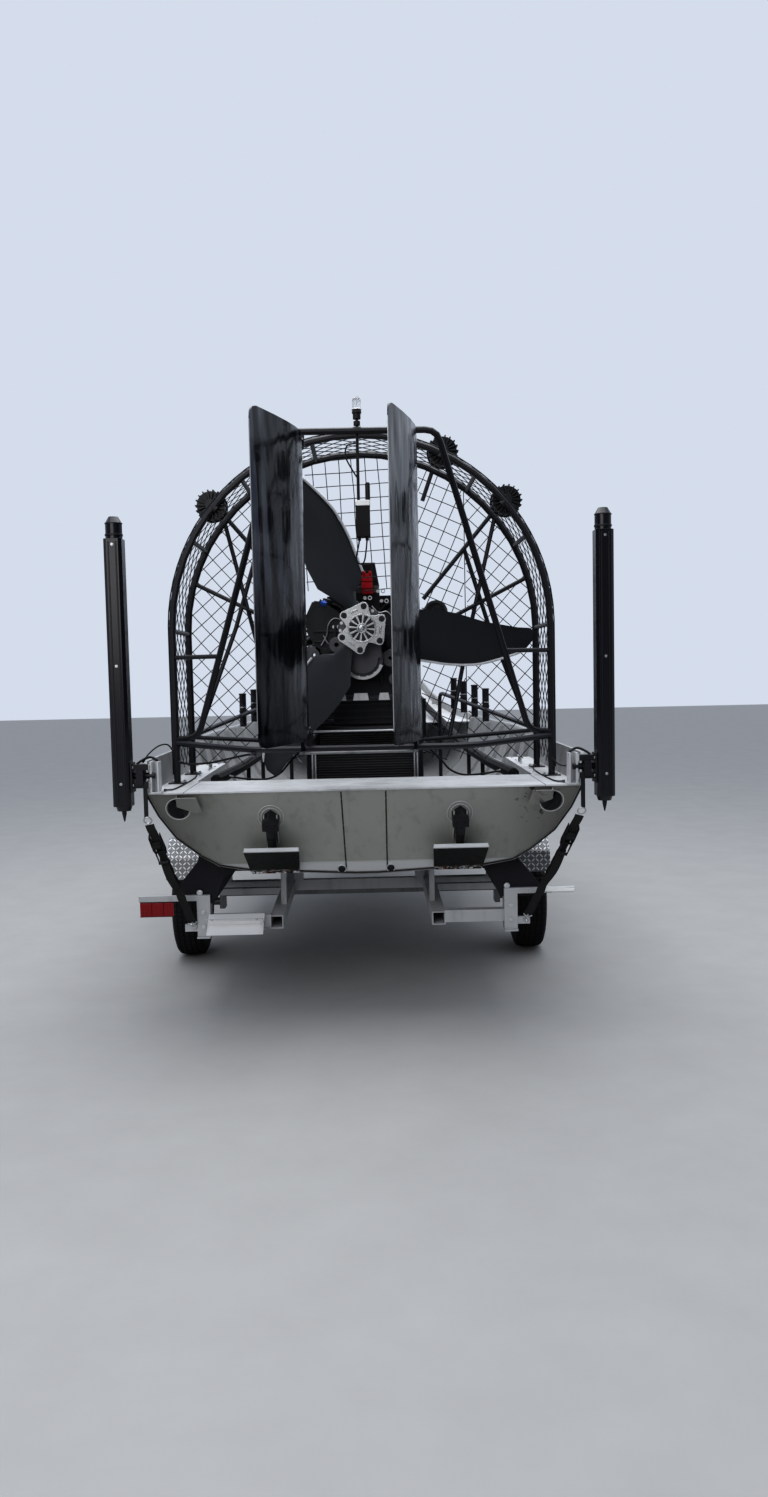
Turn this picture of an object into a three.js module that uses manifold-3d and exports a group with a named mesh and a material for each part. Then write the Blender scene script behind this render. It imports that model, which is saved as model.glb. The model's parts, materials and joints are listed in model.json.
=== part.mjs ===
// An aluminium airboat on its single-axle trailer, stood on its wheels and tongue jack.
// Millimetres, +Z up, +Y towards the bow, +X to starboard. The ground is z = 0.
// Lengths along the boat are written from the transom's top edge, aft of the bow.
// The finished group is moved back by MIDDLE_Y, so the origin is under the middle of the whole.

import * as THREE from "three";
import { mergeVertices } from "three/addons/utils/BufferGeometryUtils.js";
import Module from "manifold-3d";

const wasm = await Module();
wasm.setup();

// Driving dimensions
const MIDDLE_Y = 2900; // the middle of the overall length, forward of the transom
const GAP = 0.3; // between pieces that touch

const KEEL_Z = 757; // hull bottom on its bunks
const DECK_Z = 1245; // transom top and underside of the deck plates
const SHEER_Z = 1405; // top of the hull sides
const HULL_END_Y = 5250;
const BOW_START_Y = 2900;
const SHEET = 18; // hull side with its framing
const TRANSOM_RAKE = 0.585; // forward for each millimetre below the deck
const CORNER_RAKE = 0.875; // forward for each millimetre above the deck
const DECK_THICK = 8;
const STERN_DECK_Y = 550;
const SIDE_DECK_Y = 1770;
const SIDE_DECK_X = 940;
const FLOOR_Z = 850;

const HUB_Z = 2090;
const PROP_Y = 690;
const PROP_RADIUS = 972;
const CAGE_RADIUS = 1035;
const CAGE_TUBE = 19;
const REAR_HOOP_Y = 470;
const FRONT_HOOP_Y = 1008;

const RUDDER_X = 280;
const RUDDER_CHORD = 683;
const RUDDER_NOSE = 28; // leading edge behind the pin
const RUDDER_LOW = 1510;
const RUDDER_HIGH = 3028;
const RUDDER_REST = { left: -15.2, right: -11.5 }; // degrees about +Z, trailing edges to port
const FRAME_Y = 45;
const FRAME_LOW = 1458;
const FRAME_HIGH = 3055;
const FRAME_TUBE = 17;

const COLUMN_X = 1220;
const COLUMN_LOW = 1170;
const COLUMN_HIGH = 2640;

const TAB_X = 490;
const TAB_HINGE = [260.3, 785]; // y, z
const TAB_RAISED = 33.5;
const TAB_CHORD = 275;
const TAB_PIN = 190; // from the hinge to the rod's eye, along the plate
const CYLINDER_TOP = [50, 1098]; // y, z

const TRAILER_X = -56; // the trailer stands to port of the hull's centre line
const RAIL_X = 445;
const RAIL = 72;
const RAIL_TOP = 526;
const RAIL_END_Y = 360;
const BUNK_Z = 603;
const AXLE_Y = 1650;
const WHEEL_RADIUS = 343;
const WHEEL_X = 1108;
const FENDER_X = [1002, 1204];
const JACK_Y = 5450;
const JACK_X = 96;

const RUDDER_TAIL = RUDDER_NOSE + RUDDER_CHORD;
const RAD = Math.PI / 180;

// The end of the coupler lies as far ahead of the middle as the rudders' tails lie behind it.
const TAIL_Y = -RUDDER_TAIL * Math.cos(RUDDER_REST.right * RAD);
const NOSE_Y = 2 * MIDDLE_Y - TAIL_Y;

const finish = (color, roughness, metalness) =>
  new THREE.MeshStandardMaterial({ color, roughness, metalness });
const bareAluminium = finish(0xb9bcbc, 0.5, 0.8);
const deckAluminium = finish(0xd6d9da, 0.5, 0.6);
const blackPaint = finish(0x101113, 0.35, 0.2);
const glossBlack = finish(0x0b0c0f, 0.08, 0.1);
const carbonBlack = finish(0x17181a, 0.6, 0.1);
const castMetal = finish(0x3a3c3f, 0.55, 0.7);
const steel = finish(0x8d9091, 0.35, 0.9);
const cushion = finish(0x1c1d20, 0.8, 0);
const carpet = finish(0x0d0e10, 0.95, 0);
const rubber = finish(0x151515, 0.9, 0);
const lampRed = finish(0xb3121c, 0.3, 0);
const plateWhite = finish(0xe9eaea, 0.4, 0.2);
const webbing = finish(0x0e0e0f, 0.9, 0);

const airboat = new THREE.Group();
airboat.position.y = -MIDDLE_Y;

// A closed three.js geometry as a solid that can be joined and cut
function solid(geometry) {
  const bare = geometry.index ? geometry.toNonIndexed() : geometry.clone();
  bare.deleteAttribute("normal");
  bare.deleteAttribute("uv");
  const merged = mergeVertices(bare, 1e-3);
  const vertProperties = new Float32Array(merged.attributes.position.array);
  const triVerts = new Uint32Array(merged.index.array);
  return new wasm.Manifold(new wasm.Mesh({ numProp: 3, vertProperties, triVerts }));
}

const join = (...solids) => solids.reduce((whole, next) => whole.add(next));
const cut = (body, ...tools) => tools.reduce((whole, tool) => whole.subtract(tool), body);

// Adds a solid to the group as one named mesh
function piece(name, body, material) {
  const shape = body.getMesh();
  const geometry = new THREE.BufferGeometry();
  geometry.setAttribute("position", new THREE.BufferAttribute(new Float32Array(shape.vertProperties), 3));
  geometry.setIndex(new THREE.BufferAttribute(new Uint32Array(shape.triVerts), 1));
  geometry.computeVertexNormals();
  const mesh = new THREE.Mesh(geometry, material);
  mesh.name = name;
  airboat.add(mesh);
}

// A block between two corners
function block(x0, y0, z0, x1, y1, z1) {
  const geometry = new THREE.BoxGeometry(x1 - x0, y1 - y0, z1 - z0);
  geometry.translate((x0 + x1) / 2, (y0 + y1) / 2, (z0 + z1) / 2);
  return solid(geometry);
}

// The same block on one side of the boat, side = 1 starboard or -1 port
const sideBlock = (side, x0, y0, z0, x1, y1, z1) =>
  side > 0 ? block(x0, y0, z0, x1, y1, z1) : block(-x1, y0, z0, -x0, y1, z1);

// A round bar between two points, with an end radius of its own where it tapers
function rod(from, to, radius, sides = 10, endRadius = radius) {
  const a = new THREE.Vector3(...from);
  const b = new THREE.Vector3(...to);
  const along = b.clone().sub(a);
  const geometry = new THREE.CylinderGeometry(endRadius, radius, along.length(), sides);
  geometry.applyQuaternion(
    new THREE.Quaternion().setFromUnitVectors(new THREE.Vector3(0, 1, 0), along.normalize()));
  geometry.translate((a.x + b.x) / 2, (a.y + b.y) / 2, (a.z + b.z) / 2);
  return solid(geometry);
}

// A curve through listed points that puts one section of a tube at each of them
class Route extends THREE.Curve {
  constructor(points) {
    super();
    this.points = points;
  }

  getPoint(t, target = new THREE.Vector3()) {
    const place = t * (this.points.length - 1);
    const index = Math.min(Math.floor(place), this.points.length - 2);
    return target.lerpVectors(this.points[index], this.points[index + 1], place - index);
  }

  getUtoTmapping(u) {
    return u;
  }
}

// The corners of a route, each rounded over a set back on both sides
function rounded(corners, setback, steps = 3) {
  const points = corners.map((corner) => new THREE.Vector3(...corner));
  const route = [points[0]];
  for (let i = 1; i < points.length - 1; i += 1) {
    const back = points[i - 1].clone().sub(points[i]).setLength(setback).add(points[i]);
    const ahead = points[i + 1].clone().sub(points[i]).setLength(setback).add(points[i]);
    const bend = new THREE.QuadraticBezierCurve3(back, points[i], ahead);
    route.push(...bend.getPoints(steps));
  }
  route.push(points[points.length - 1]);
  return route;
}

// A tube along a route
function tube(route, radius, sides = 8) {
  const turn = (i) => (2 * Math.PI * (i + 0.5)) / sides;
  const ring = Array.from({ length: sides }, (_, i) =>
    new THREE.Vector2(radius * Math.cos(turn(i)), radius * Math.sin(turn(i))));
  return solid(new THREE.ExtrudeGeometry(new THREE.Shape(ring), {
    steps: route.length - 1, extrudePath: new Route(route), bevelEnabled: false }));
}

// An outline in the plane of two axes, extruded along the third from one place to another
function extrude(outline, from, to, plane = "xz") {
  const shape = new THREE.Shape(outline.map(([u, v]) => new THREE.Vector2(u, v)));
  const geometry = new THREE.ExtrudeGeometry(shape, { depth: to - from, bevelEnabled: false });
  geometry.translate(0, 0, from);
  const turns = {
    xy: new THREE.Matrix4(),
    xz: new THREE.Matrix4().set(1, 0, 0, 0, 0, 0, 1, 0, 0, 1, 0, 0, 0, 0, 0, 1),
    yz: new THREE.Matrix4().set(0, 0, 1, 0, 1, 0, 0, 0, 0, 1, 0, 0, 0, 0, 0, 1),
  };
  geometry.applyMatrix4(turns[plane]);
  const placed = plane === "xz" ? flipped(geometry) : geometry;
  return solid(placed);
}

// The same geometry with its faces turned over, for a map that mirrors
function flipped(geometry) {
  const loose = geometry.index ? geometry.toNonIndexed() : geometry;
  const p = loose.attributes.position;
  for (let i = 0; i < p.count; i += 3) {
    const [x, y, z] = [p.getX(i), p.getY(i), p.getZ(i)];
    p.setXYZ(i, p.getX(i + 1), p.getY(i + 1), p.getZ(i + 1));
    p.setXYZ(i + 1, x, y, z);
  }
  return loose;
}

// A closed skin through rings of points, with flat ends
function loft(rings) {
  const count = rings[0].length;
  const corners = [];
  const quad = (a, b, c, d) => corners.push(...a, ...b, ...c, ...a, ...c, ...d);
  for (let r = 0; r < rings.length - 1; r += 1) {
    for (let i = 0; i < count; i += 1) {
      const j = (i + 1) % count;
      quad(rings[r][i], rings[r][j], rings[r + 1][j], rings[r + 1][i]);
    }
  }
  // Each end is closed by a strip across the ring, which may be bent
  const first = rings[0];
  const last = rings[rings.length - 1];
  for (let i = 0; i < count / 2 - 1; i += 1) {
    const [a, b, c, d] = [i, i + 1, count - 2 - i, count - 1 - i];
    quad(first[d], first[c], first[b], first[a]);
    quad(last[a], last[b], last[c], last[d]);
  }
  const geometry = new THREE.BufferGeometry();
  geometry.setAttribute("position", new THREE.Float32BufferAttribute(corners, 3));
  const made = solid(geometry);
  return made.volume() < 0 ? solid(flipped(geometry)) : made;
}

// Hull

// Half section from the keel to the sheer: x, z
const HALF_SECTION = [
  [60, 758], [360, 777], [615, 790], [790, 825], [880, 886], [998, 995], [1073, 1125], [1118, DECK_Z],
  [1150, SHEER_Z],
];

// Sections over the boat's length: y, share of the beam, keel, sheer
const STATIONS = [
  [700, 1, KEEL_Z, SHEER_Z],
  [BOW_START_Y, 1, KEEL_Z, SHEER_Z],
  [3500, 0.93, 772, 1410],
  [4000, 0.83, 832, 1435],
  [4450, 0.71, 957, 1485],
  [4850, 0.58, 1152, 1575],
  [HULL_END_Y, 0.45, 1462, 1785],
];

// One ring round the hull, its sheet moved in by an inset, its top raised by a lift
function hullRing([y, beam, keel, sheer], inset, lift, raked) {
  const scale = (sheer - keel) / (SHEER_Z - KEEL_Z);
  const half = HALF_SECTION.map(([x, z], i) => {
    const inward = inset * Math.min(1, (i + 1) / 3);
    return [x * beam - inward, keel + (z - KEEL_Z) * scale + inset * Math.max(0, 1 - i / 5)];
  });
  half.push([half[half.length - 1][0], half[half.length - 1][1] + lift]);
  const rake = (z) => (z < DECK_Z ? (DECK_Z - z) * TRANSOM_RAKE : (z - DECK_Z) * CORNER_RAKE);
  const place = ([x, z]) => [x, raked ? y + rake(z) : y, z];
  const starboard = half.map(place);
  const port = half.map(([x, z]) => place([-x, z])).reverse();
  return [...starboard, ...port];
}

const hullSolid = (inset, lift, startY = 0, endY = 0) => loft([
  hullRing([startY, 1, KEEL_Z, SHEER_Z], inset, lift, true),
  ...STATIONS.map((station, i) =>
    hullRing([station[0] + (i === STATIONS.length - 1 ? endY : 0), ...station.slice(1)], inset, lift, false)),
]);

const hullOuter = hullSolid(0, 1);
const hullClear = hullSolid(-GAP, 1, -GAP, GAP);
const hullInner = hullSolid(SHEET, 400, -60, -SHEET);
const hullFill = hullSolid(SHEET + GAP, 400, -60, -SHEET - GAP);

piece("hull_shell", cut(hullOuter, hullInner), bareAluminium);

// The transom is the raked plate between the hull's sides, with its drain plugs and scuppers
const TRANSOM_THICK = 12;
const SCUPPER_X = 962;
const SCUPPER_Z = 1163;
const slopedPlate = (from, to, low, high) => extrude([
  [from + (DECK_Z - low) * TRANSOM_RAKE, low], [to + (DECK_Z - low) * TRANSOM_RAKE, low],
  [to + (DECK_Z - high) * TRANSOM_RAKE, high], [from + (DECK_Z - high) * TRANSOM_RAKE, high],
], -1200, 1200, "yz");
const scuppers = [-1, 1].map((side) =>
  rod([side * SCUPPER_X, -100, SCUPPER_Z], [side * SCUPPER_X, 200, SCUPPER_Z], 55, 16));
const cylinderEars = [-1, 1].flatMap((side) => [-1, 1].map((ear) => {
  const [inner, outer] = [side * TAB_X + ear * 30, side * TAB_X + ear * 37].sort((a, b) => a - b);
  const [y, z] = CYLINDER_TOP;
  return block(inner + (ear > 0 ? GAP : 0), y - 16, z - 24, outer - (ear < 0 ? GAP : 0), y + 60, z + 24);
}));
piece("transom", join(
  cut(slopedPlate(0, TRANSOM_THICK, 700, DECK_Z - GAP).intersect(hullFill), ...scuppers),
  ...cylinderEars), bareAluminium);

// Deck plates lie flat from the transom forward, then along both sides
const deckSlab = block(-1200, 0, DECK_Z, 1200, STERN_DECK_Y, DECK_Z + DECK_THICK);
const LIP_X = 1115;
piece("stern_deck", join(deckSlab.intersect(hullFill),
  block(-1090, -10, DECK_Z, 1090, 10, DECK_Z + DECK_THICK),
  block(-LIP_X, -10, DECK_Z, LIP_X, -GAP, DECK_Z + DECK_THICK)), deckAluminium);

for (const [name, side] of [["left", -1], ["right", 1]]) {
  const box = sideBlock(side, SIDE_DECK_X, STERN_DECK_Y + GAP, FLOOR_Z + GAP, 1200, SIDE_DECK_Y,
    DECK_Z + DECK_THICK);
  piece(`side_deck_${name}`, box.intersect(hullFill), deckAluminium);
}

// Cockpit floor on three stringers
const FLOOR_THICK = 12;
const STRINGERS = [-500, 0, 500];
const FLOOR_END_Y = 3700;
piece("cockpit_floor", join(
  block(-1000, 300, FLOOR_Z - FLOOR_THICK, 1000, FLOOR_END_Y, FLOOR_Z),
  ...STRINGERS.map((x) => block(x - 20, 300, KEEL_Z, x + 20, FLOOR_END_Y, FLOOR_Z - 1)),
).intersect(hullFill), bareAluminium);

// Foredeck between the sides at the bow, following the sheer
const foredeckTop = STATIONS.slice(3).map(([y, , , sheer]) => [Math.min(y, HULL_END_Y), sheer - 40]);
const foredeck = extrude([...foredeckTop, ...foredeckTop.map(([y, z]) => [y, z - 8]).reverse()],
  -1200, 1200, "yz");
piece("foredeck", foredeck.intersect(hullFill), deckAluminium);

// Thick padded coaming from the stern deck round the cockpit, rising over the bow
const COAMING_RADIUS = 32;
const COAMING = [
  [842, 600, 1254], [795, 1320, 1254], [755, 2400, 1264], [690, 3600, 1365], [555, 4400, 1515],
  [437, 4900, 1675], [400, 5180, 1865],
];
const coamingRight = COAMING.map(([x, y, z]) => [x, y, z]);
const coamingLeft = COAMING.map(([x, y, z]) => [-x, y, z]).reverse();
const COAMING_POSTS = [[830, 620], [782, 1720], [754, 2420]];
const coamingPosts = join(...[-1, 1].flatMap((side) => COAMING_POSTS.map(([x, y]) =>
  rod([side * x, y, FLOOR_Z + GAP], [side * x, y, 1250], 14, 8))));
piece("coaming", join(
  tube(rounded([...coamingRight, ...coamingLeft], 90, 1), COAMING_RADIUS, 8),
  coamingPosts.intersect(hullFill),
), rubber);

// Engine, its stand and what drives the propeller

const STAND_X = 322;
const STAND_Y = [860, 1700];
const STAND_TOP = 1690;
const STAND_TUBE = 22;
const standTube = (a, b) => rod(a, b, STAND_TUBE, 8);
const standCorners = [-1, 1].flatMap((side) => STAND_Y.map((y) => [side * STAND_X, y]));
piece("engine_stand", join(
  ...standCorners.map(([x, y]) => standTube([x, y, FLOOR_Z + GAP], [x, y, STAND_TOP])),
  ...[-1, 1].flatMap((side) => [1430, STAND_TOP].map((z) =>
    standTube([side * STAND_X, STAND_Y[0], z], [side * STAND_X, STAND_Y[1], z]))),
  ...STAND_Y.flatMap((y) => [1510, STAND_TOP].map((z) =>
    standTube([-STAND_X, y, z], [STAND_X, y, z]))),
  ...STAND_Y.flatMap((y) => [-1, 1].map((side) =>
    standTube([side * STAND_X, y, 1500], [side * (STAND_X - 150), y, STAND_TOP]))),
), steel);

piece("fuel_tank", block(-296, 890, FLOOR_Z + GAP, 296, 1420, 1380), carbonBlack);

const ENGINE_Y = [1090, 1640];
const ENGINE_SECTION = [
  [-180, 1530], [180, 1530], [200, 1712], [235, 1712], [235, 1900], [340, 2100], [250, 2290], [120, 2190],
  [-120, 2190], [-250, 2290], [-340, 2100], [-235, 1900], [-235, 1712], [-200, 1712],
];
const engineFeet = [-1, 1].flatMap((side) => [1200, 1540].map((y) =>
  sideBlock(side, 200, y - 30, 1712 + GAP, 345, y + 30, 1760)));
piece("engine_block", join(extrude(ENGINE_SECTION, ...ENGINE_Y), ...engineFeet), castMetal);

const SCOOP = [[-110, 2370], [110, 2370], [85, 2515], [-85, 2515]];
piece("engine_intake", join(
  block(-110, 1180, 2190 + GAP, 110, 1580, 2330),
  rod([0, 1380, 2320], [0, 1380, 2380], 75, 14),
  extrude(SCOOP, 1230, 1530),
), carbonBlack);

// Two-pulley reduction drive between crankshaft and propeller shaft
const CRANK_Z = 1925;
const DRIVE_Y = [830, 1090 - GAP];
const oval = (grow, y0, y1) => join(
  rod([0, y0, HUB_Z], [0, y1, HUB_Z], 140 + grow, 24),
  rod([0, y0, CRANK_Z], [0, y1, CRANK_Z], 120 + grow, 24),
  block(-110, y0, CRANK_Z, 110, y1, HUB_Z));
piece("reduction_drive", join(
  oval(0, DRIVE_Y[0] + 60, DRIVE_Y[1]),
  oval(-30, DRIVE_Y[0], DRIVE_Y[0] + 61),
  rod([0, PROP_Y + 62 + GAP, HUB_Z], [0, DRIVE_Y[0] + 5, HUB_Z], 45, 16),
), castMetal);

// Silencers beside the engine, carried by their headers
for (const [name, side] of [["left", -1], ["right", 1]]) {
  piece(`exhaust_${name}`, join(
    rod([side * 450, 1130, 2200], [side * 450, 1620, 2200], 72, 14),
    rod([side * 450, 1060, 2200], [side * 450, 1131, 2200], 30, 10),
    ...[1200, 1370, 1540].map((y) =>
      rod([side * 310, y, 2135], [side * 430, y, 2190], 22, 8)),
  ).subtract(extrude(ENGINE_SECTION.map(([x, z]) => [x * 1.002, z + Math.sign(z - 2000) * GAP]),
    ENGINE_Y[0] - 5, ENGINE_Y[1] + 5)), carbonBlack);
}

piece("radiator", join(
  block(-330, 1760, 1180, 330, 1830, 1640),
  ...[-1, 1].map((side) => sideBlock(side, 280, 1722 + GAP, 1560, 320, 1770, 1600)),
  ...[-1, 1].map((side) => sideBlock(side, 270, 1770, FLOOR_Z + GAP, 310, 1820, 1190)),
), carbonBlack);

// Propeller: three wide blades on a hub, and its three-lobed plate

// Blade sections from root to tip: radius, chord, thickness, pitch in degrees, sweep of the middle
const BLADE = [
  [70, 80, 60, 48, 0], [150, 100, 46, 44, 0], [212, 171, 38, 40, -8], [250, 262, 34, 38, 8],
  [300, 337, 32, 36, 6], [425, 338, 28, 32, 7], [525, 320, 24, 28, 14], [690, 252, 19, 22, 22],
  [880, 156, 13, 18, -8], [945, 117, 10, 17, -30], [PROP_RADIUS, 60, 6, 17, -44],
];
// A lens-shaped section: share of the chord towards the leading edge, share of the thickness
const LENS = [[0.5, 0], [0.3, 0.42], [0, 0.5], [-0.3, 0.3], [-0.5, 0], [-0.3, -0.3], [0, -0.5], [0.3, -0.42]];
const blade = loft(BLADE.map(([radius, chord, thick, pitch, sweep]) => LENS.map(([u, v]) => {
  const c = Math.cos(pitch * RAD);
  const s = Math.sin(pitch * RAD);
  const along = u * chord + sweep;
  const across = v * thick;
  return [radius, along * s + across * c, -(along * c - across * s)];
})));
const BLADE_ANGLES = [-6, 114, 234];
const LOBE_ANGLES = [20, 140, 260];
const hubPlate = join(
  rod([0, -90, 0], [0, -74, 0], 96, 24),
  ...LOBE_ANGLES.map((angle) => rod(
    [95 * Math.cos(angle * RAD), -90, 95 * Math.sin(angle * RAD)],
    [95 * Math.cos(angle * RAD), -74, 95 * Math.sin(angle * RAD)], 42, 16)),
);
const propeller = join(
  rod([0, -75, 0], [0, 62, 0], 88, 24), hubPlate,
  ...BLADE_ANGLES.map((angle) => blade.rotate([0, -angle, 0])));
piece("propeller", propeller.translate([0, PROP_Y, HUB_Z]), carbonBlack);

// Propeller cage

const HOOP_STEPS = 24;
function hoopRoute(radius, y, foot) {
  const arch = Array.from({ length: HOOP_STEPS + 1 }, (_, i) => {
    const angle = (Math.PI * i) / HOOP_STEPS;
    return new THREE.Vector3(radius * Math.cos(angle), y, HUB_Z + radius * Math.sin(angle));
  });
  return [new THREE.Vector3(radius, y, foot), ...arch, new THREE.Vector3(-radius, y, foot)];
}
const hoop = (y, foot, grow = 0) => tube(hoopRoute(CAGE_RADIUS, y, foot), CAGE_TUBE + grow, 8);
const onCage = (angle, y, radius = CAGE_RADIUS) =>
  [radius * Math.cos(angle * RAD), y, HUB_Z + radius * Math.sin(angle * RAD)];

// Spotlights on the rear hoop face the bow: their places as angles from starboard
const LAMP_ANGLES = [40, 64, 116, 140];
const LAMP_RADIUS = 78;
const lampBody = (angle, grow = 0) => {
  const [x, , z] = onCage(angle, 0, CAGE_RADIUS + 20);
  return join(
    rod([x, REAR_HOOP_Y + 30 - grow, z], [x, REAR_HOOP_Y + 110 + grow, z], LAMP_RADIUS + grow, 16),
    rod([x, REAR_HOOP_Y, z], [x, REAR_HOOP_Y + 40, z], 30, 8));
};
const deckFoot = DECK_Z + DECK_THICK + GAP;
const footPlates = (y) => [-1, 1].map((side) =>
  sideBlock(side, CAGE_RADIUS - 45, y - 40, deckFoot, CAGE_RADIUS + 45, y + 40, deckFoot + 6));
piece("cage_rear_hoop", join(hoop(REAR_HOOP_Y, deckFoot), ...footPlates(REAR_HOOP_Y),
  ...LAMP_ANGLES.map((angle) => lampBody(angle))), blackPaint);

// The front frame holds the hoop, the truss beside the engine and the ties to the rear hoop.
// Truss bars on the starboard side, repeated to port: x, z of both ends
const LOW_BAR_Z = 1476;
const LOW_BAR_END = [STAND_X + STAND_TUBE + 1.5, 1430]; // against the engine stand's lower rail
const TRUSS = [
  [784, 2765, 368, 2272], [800, 2743, 629, 2025], [629, 2025, 510, 1441], [615, 2565, 752, 2121],
  [752, 2121, 1000, 1474], [991, 2389, 554, 2169], [437, 3028, 373, 2849],
];
const TIE_ANGLES = [0, 28, 52, 76, 104, 128, 152, 180];
const trussRod = (a, b, radius = 13) => rod(a, b, radius, 8);
const frontFrame = join(
  hoop(FRONT_HOOP_Y, deckFoot), ...footPlates(FRONT_HOOP_Y),
  ...[-1, 1].flatMap((side) => TRUSS.map(([x0, z0, x1, z1]) =>
    trussRod([side * x0, FRONT_HOOP_Y, z0], [side * x1, FRONT_HOOP_Y, z1]))),
  ...[-1, 1].map((side) => trussRod([side * CAGE_RADIUS, FRONT_HOOP_Y, LOW_BAR_Z],
    [side * LOW_BAR_END[0], FRONT_HOOP_Y, LOW_BAR_END[1]])),
  ...[-1, 1].map((side) => trussRod([side * CAGE_RADIUS, REAR_HOOP_Y, LOW_BAR_Z],
    [side * CAGE_RADIUS, FRONT_HOOP_Y, LOW_BAR_Z], CAGE_TUBE - 4)),
  ...TIE_ANGLES.map((angle) => trussRod(onCage(angle, REAR_HOOP_Y), onCage(angle, FRONT_HOOP_Y),
    CAGE_TUBE - 6)),
);
const rearHoopClear = hoop(REAR_HOOP_Y, deckFoot - 5, GAP);
piece("cage_front_frame", cut(frontFrame, rearHoopClear), blackPaint);

// Wire net over the front face and round the band between the hoops
const WIRE = 2.5;
const NET_Y = FRONT_HOOP_Y + CAGE_TUBE + WIRE + GAP;
const NET_RADIUS = CAGE_RADIUS + CAGE_TUBE + WIRE + GAP;
const NET_LOW = 1300;
const NET_PITCH = 215;
const archOutline = (radius, low) => [
  [-radius, low],
  ...Array.from({ length: HOOP_STEPS + 1 }, (_, i) => {
    const angle = Math.PI - (Math.PI * i) / HOOP_STEPS;
    return [radius * Math.cos(angle), HUB_Z + radius * Math.sin(angle)];
  }),
  [radius, low],
];
const netFace = extrude(archOutline(NET_RADIUS, NET_LOW), NET_Y - WIRE, NET_Y + WIRE);
const netLines = Math.floor(NET_RADIUS / NET_PITCH);
const columnsX = Array.from({ length: 2 * netLines + 1 }, (_, i) => (i - netLines) * NET_PITCH);
const rowsZ = Array.from({ length: 9 }, (_, i) => NET_LOW + WIRE + i * NET_PITCH);
const netWires = join(
  ...columnsX.map((x) => block(x - WIRE, NET_Y - WIRE, 1000, x + WIRE, NET_Y + WIRE, 3300)),
  ...rowsZ.map((z) => block(-1100, NET_Y - WIRE, z - WIRE, 1100, NET_Y + WIRE, z + WIRE)),
).intersect(netFace);
const ENGINE_OPENING = block(-560, NET_Y - 20, 1200, 560, NET_Y + 20, 2600);
const archWire = (y) => tube(hoopRoute(NET_RADIUS, y, NET_LOW), WIRE + 0.5, 4);
const BAND_END_Y = NET_Y - WIRE - 0.5 - GAP;
const BAND_Y = [REAR_HOOP_Y, 740];
const BAND_ANGLES = Array.from({ length: 11 }, (_, i) => 15 * i + 15);
const bandWires = [
  ...BAND_ANGLES.map((angle) =>
    [onCage(angle, REAR_HOOP_Y - 4, NET_RADIUS), onCage(angle, BAND_END_Y, NET_RADIUS)]),
  ...[-1, 1].flatMap((side) => [NET_LOW + WIRE, 1570, 1840, HUB_Z].map((z) =>
    [[side * NET_RADIUS, REAR_HOOP_Y - 4, z], [side * NET_RADIUS, BAND_END_Y, z]])),
].map(([a, b]) => rod(a, b, WIRE, 4));
piece("cage_net", join(netWires.subtract(ENGINE_OPENING), archWire(NET_Y)), steel);
piece("cage_net_band", cut(join(...BAND_Y.map(archWire), ...bandWires),
  ...LAMP_ANGLES.map((angle) => lampBody(angle, 5))), steel);

// Rudder frame: a top bar with legs to the rear hoop, and a low bar, both with hinge lugs
const LEG_X = CAGE_RADIUS;
const frameTube = (points, setback) => tube(rounded(points, setback, 3), FRAME_TUBE, 8);
const HINGES = [[1545, FRAME_LOW], [2985, FRAME_HIGH]]; // z of each lug and of the bar that carries it
const LEG_LOW = [905, 430, 1510];
const LINK_Z = 1945;
const LEG_TOP_X = 400;
const linkShare = (FRAME_HIGH - LINK_Z) / (FRAME_HIGH - LEG_LOW[2]);
const PIN_RADIUS = 8;
const lugPlate = (x, z, barZ) => join(
  block(x - 16, 0, z - 6, x + 16, FRAME_Y + 8, z + 6), rod([x, 0, z - 6], [x, 0, z + 6], 16, 12),
  block(x - 14, FRAME_Y - 8, Math.min(z, barZ), x + 14, FRAME_Y + 8, Math.max(z, barZ)));
const rudderFrame = cut(join(
  frameTube([[-LEG_X, REAR_HOOP_Y, 1496], [-LEG_LOW[0], LEG_LOW[1], LEG_LOW[2]],
    [-LEG_TOP_X, FRAME_Y, FRAME_HIGH], [LEG_TOP_X, FRAME_Y, FRAME_HIGH], LEG_LOW,
    [LEG_X, REAR_HOOP_Y, 1496]], 60),
  frameTube([[-LEG_X, REAR_HOOP_Y, 1476], [-560, FRAME_Y, FRAME_LOW], [560, FRAME_Y, FRAME_LOW],
    [LEG_X, REAR_HOOP_Y, 1476]], 120),
  ...[-1, 1].map((side) => rod(
    [side * (LEG_TOP_X + (LEG_LOW[0] - LEG_TOP_X) * linkShare),
      FRAME_Y + (LEG_LOW[1] - FRAME_Y) * linkShare, LINK_Z],
    [side * LEG_X, REAR_HOOP_Y, LINK_Z], 12, 8)),
  ...[-1, 1].flatMap((side) => HINGES.map(([z, barZ]) => lugPlate(side * RUDDER_X, z, barZ))),
), rearHoopClear, ...[-1, 1].flatMap((side) => HINGES.map(([z]) =>
  rod([side * RUDDER_X, 0, z - 60], [side * RUDDER_X, 0, z + 60], PIN_RADIUS + 1, 12))));
piece("rudder_frame", rudderFrame, blackPaint);

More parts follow.
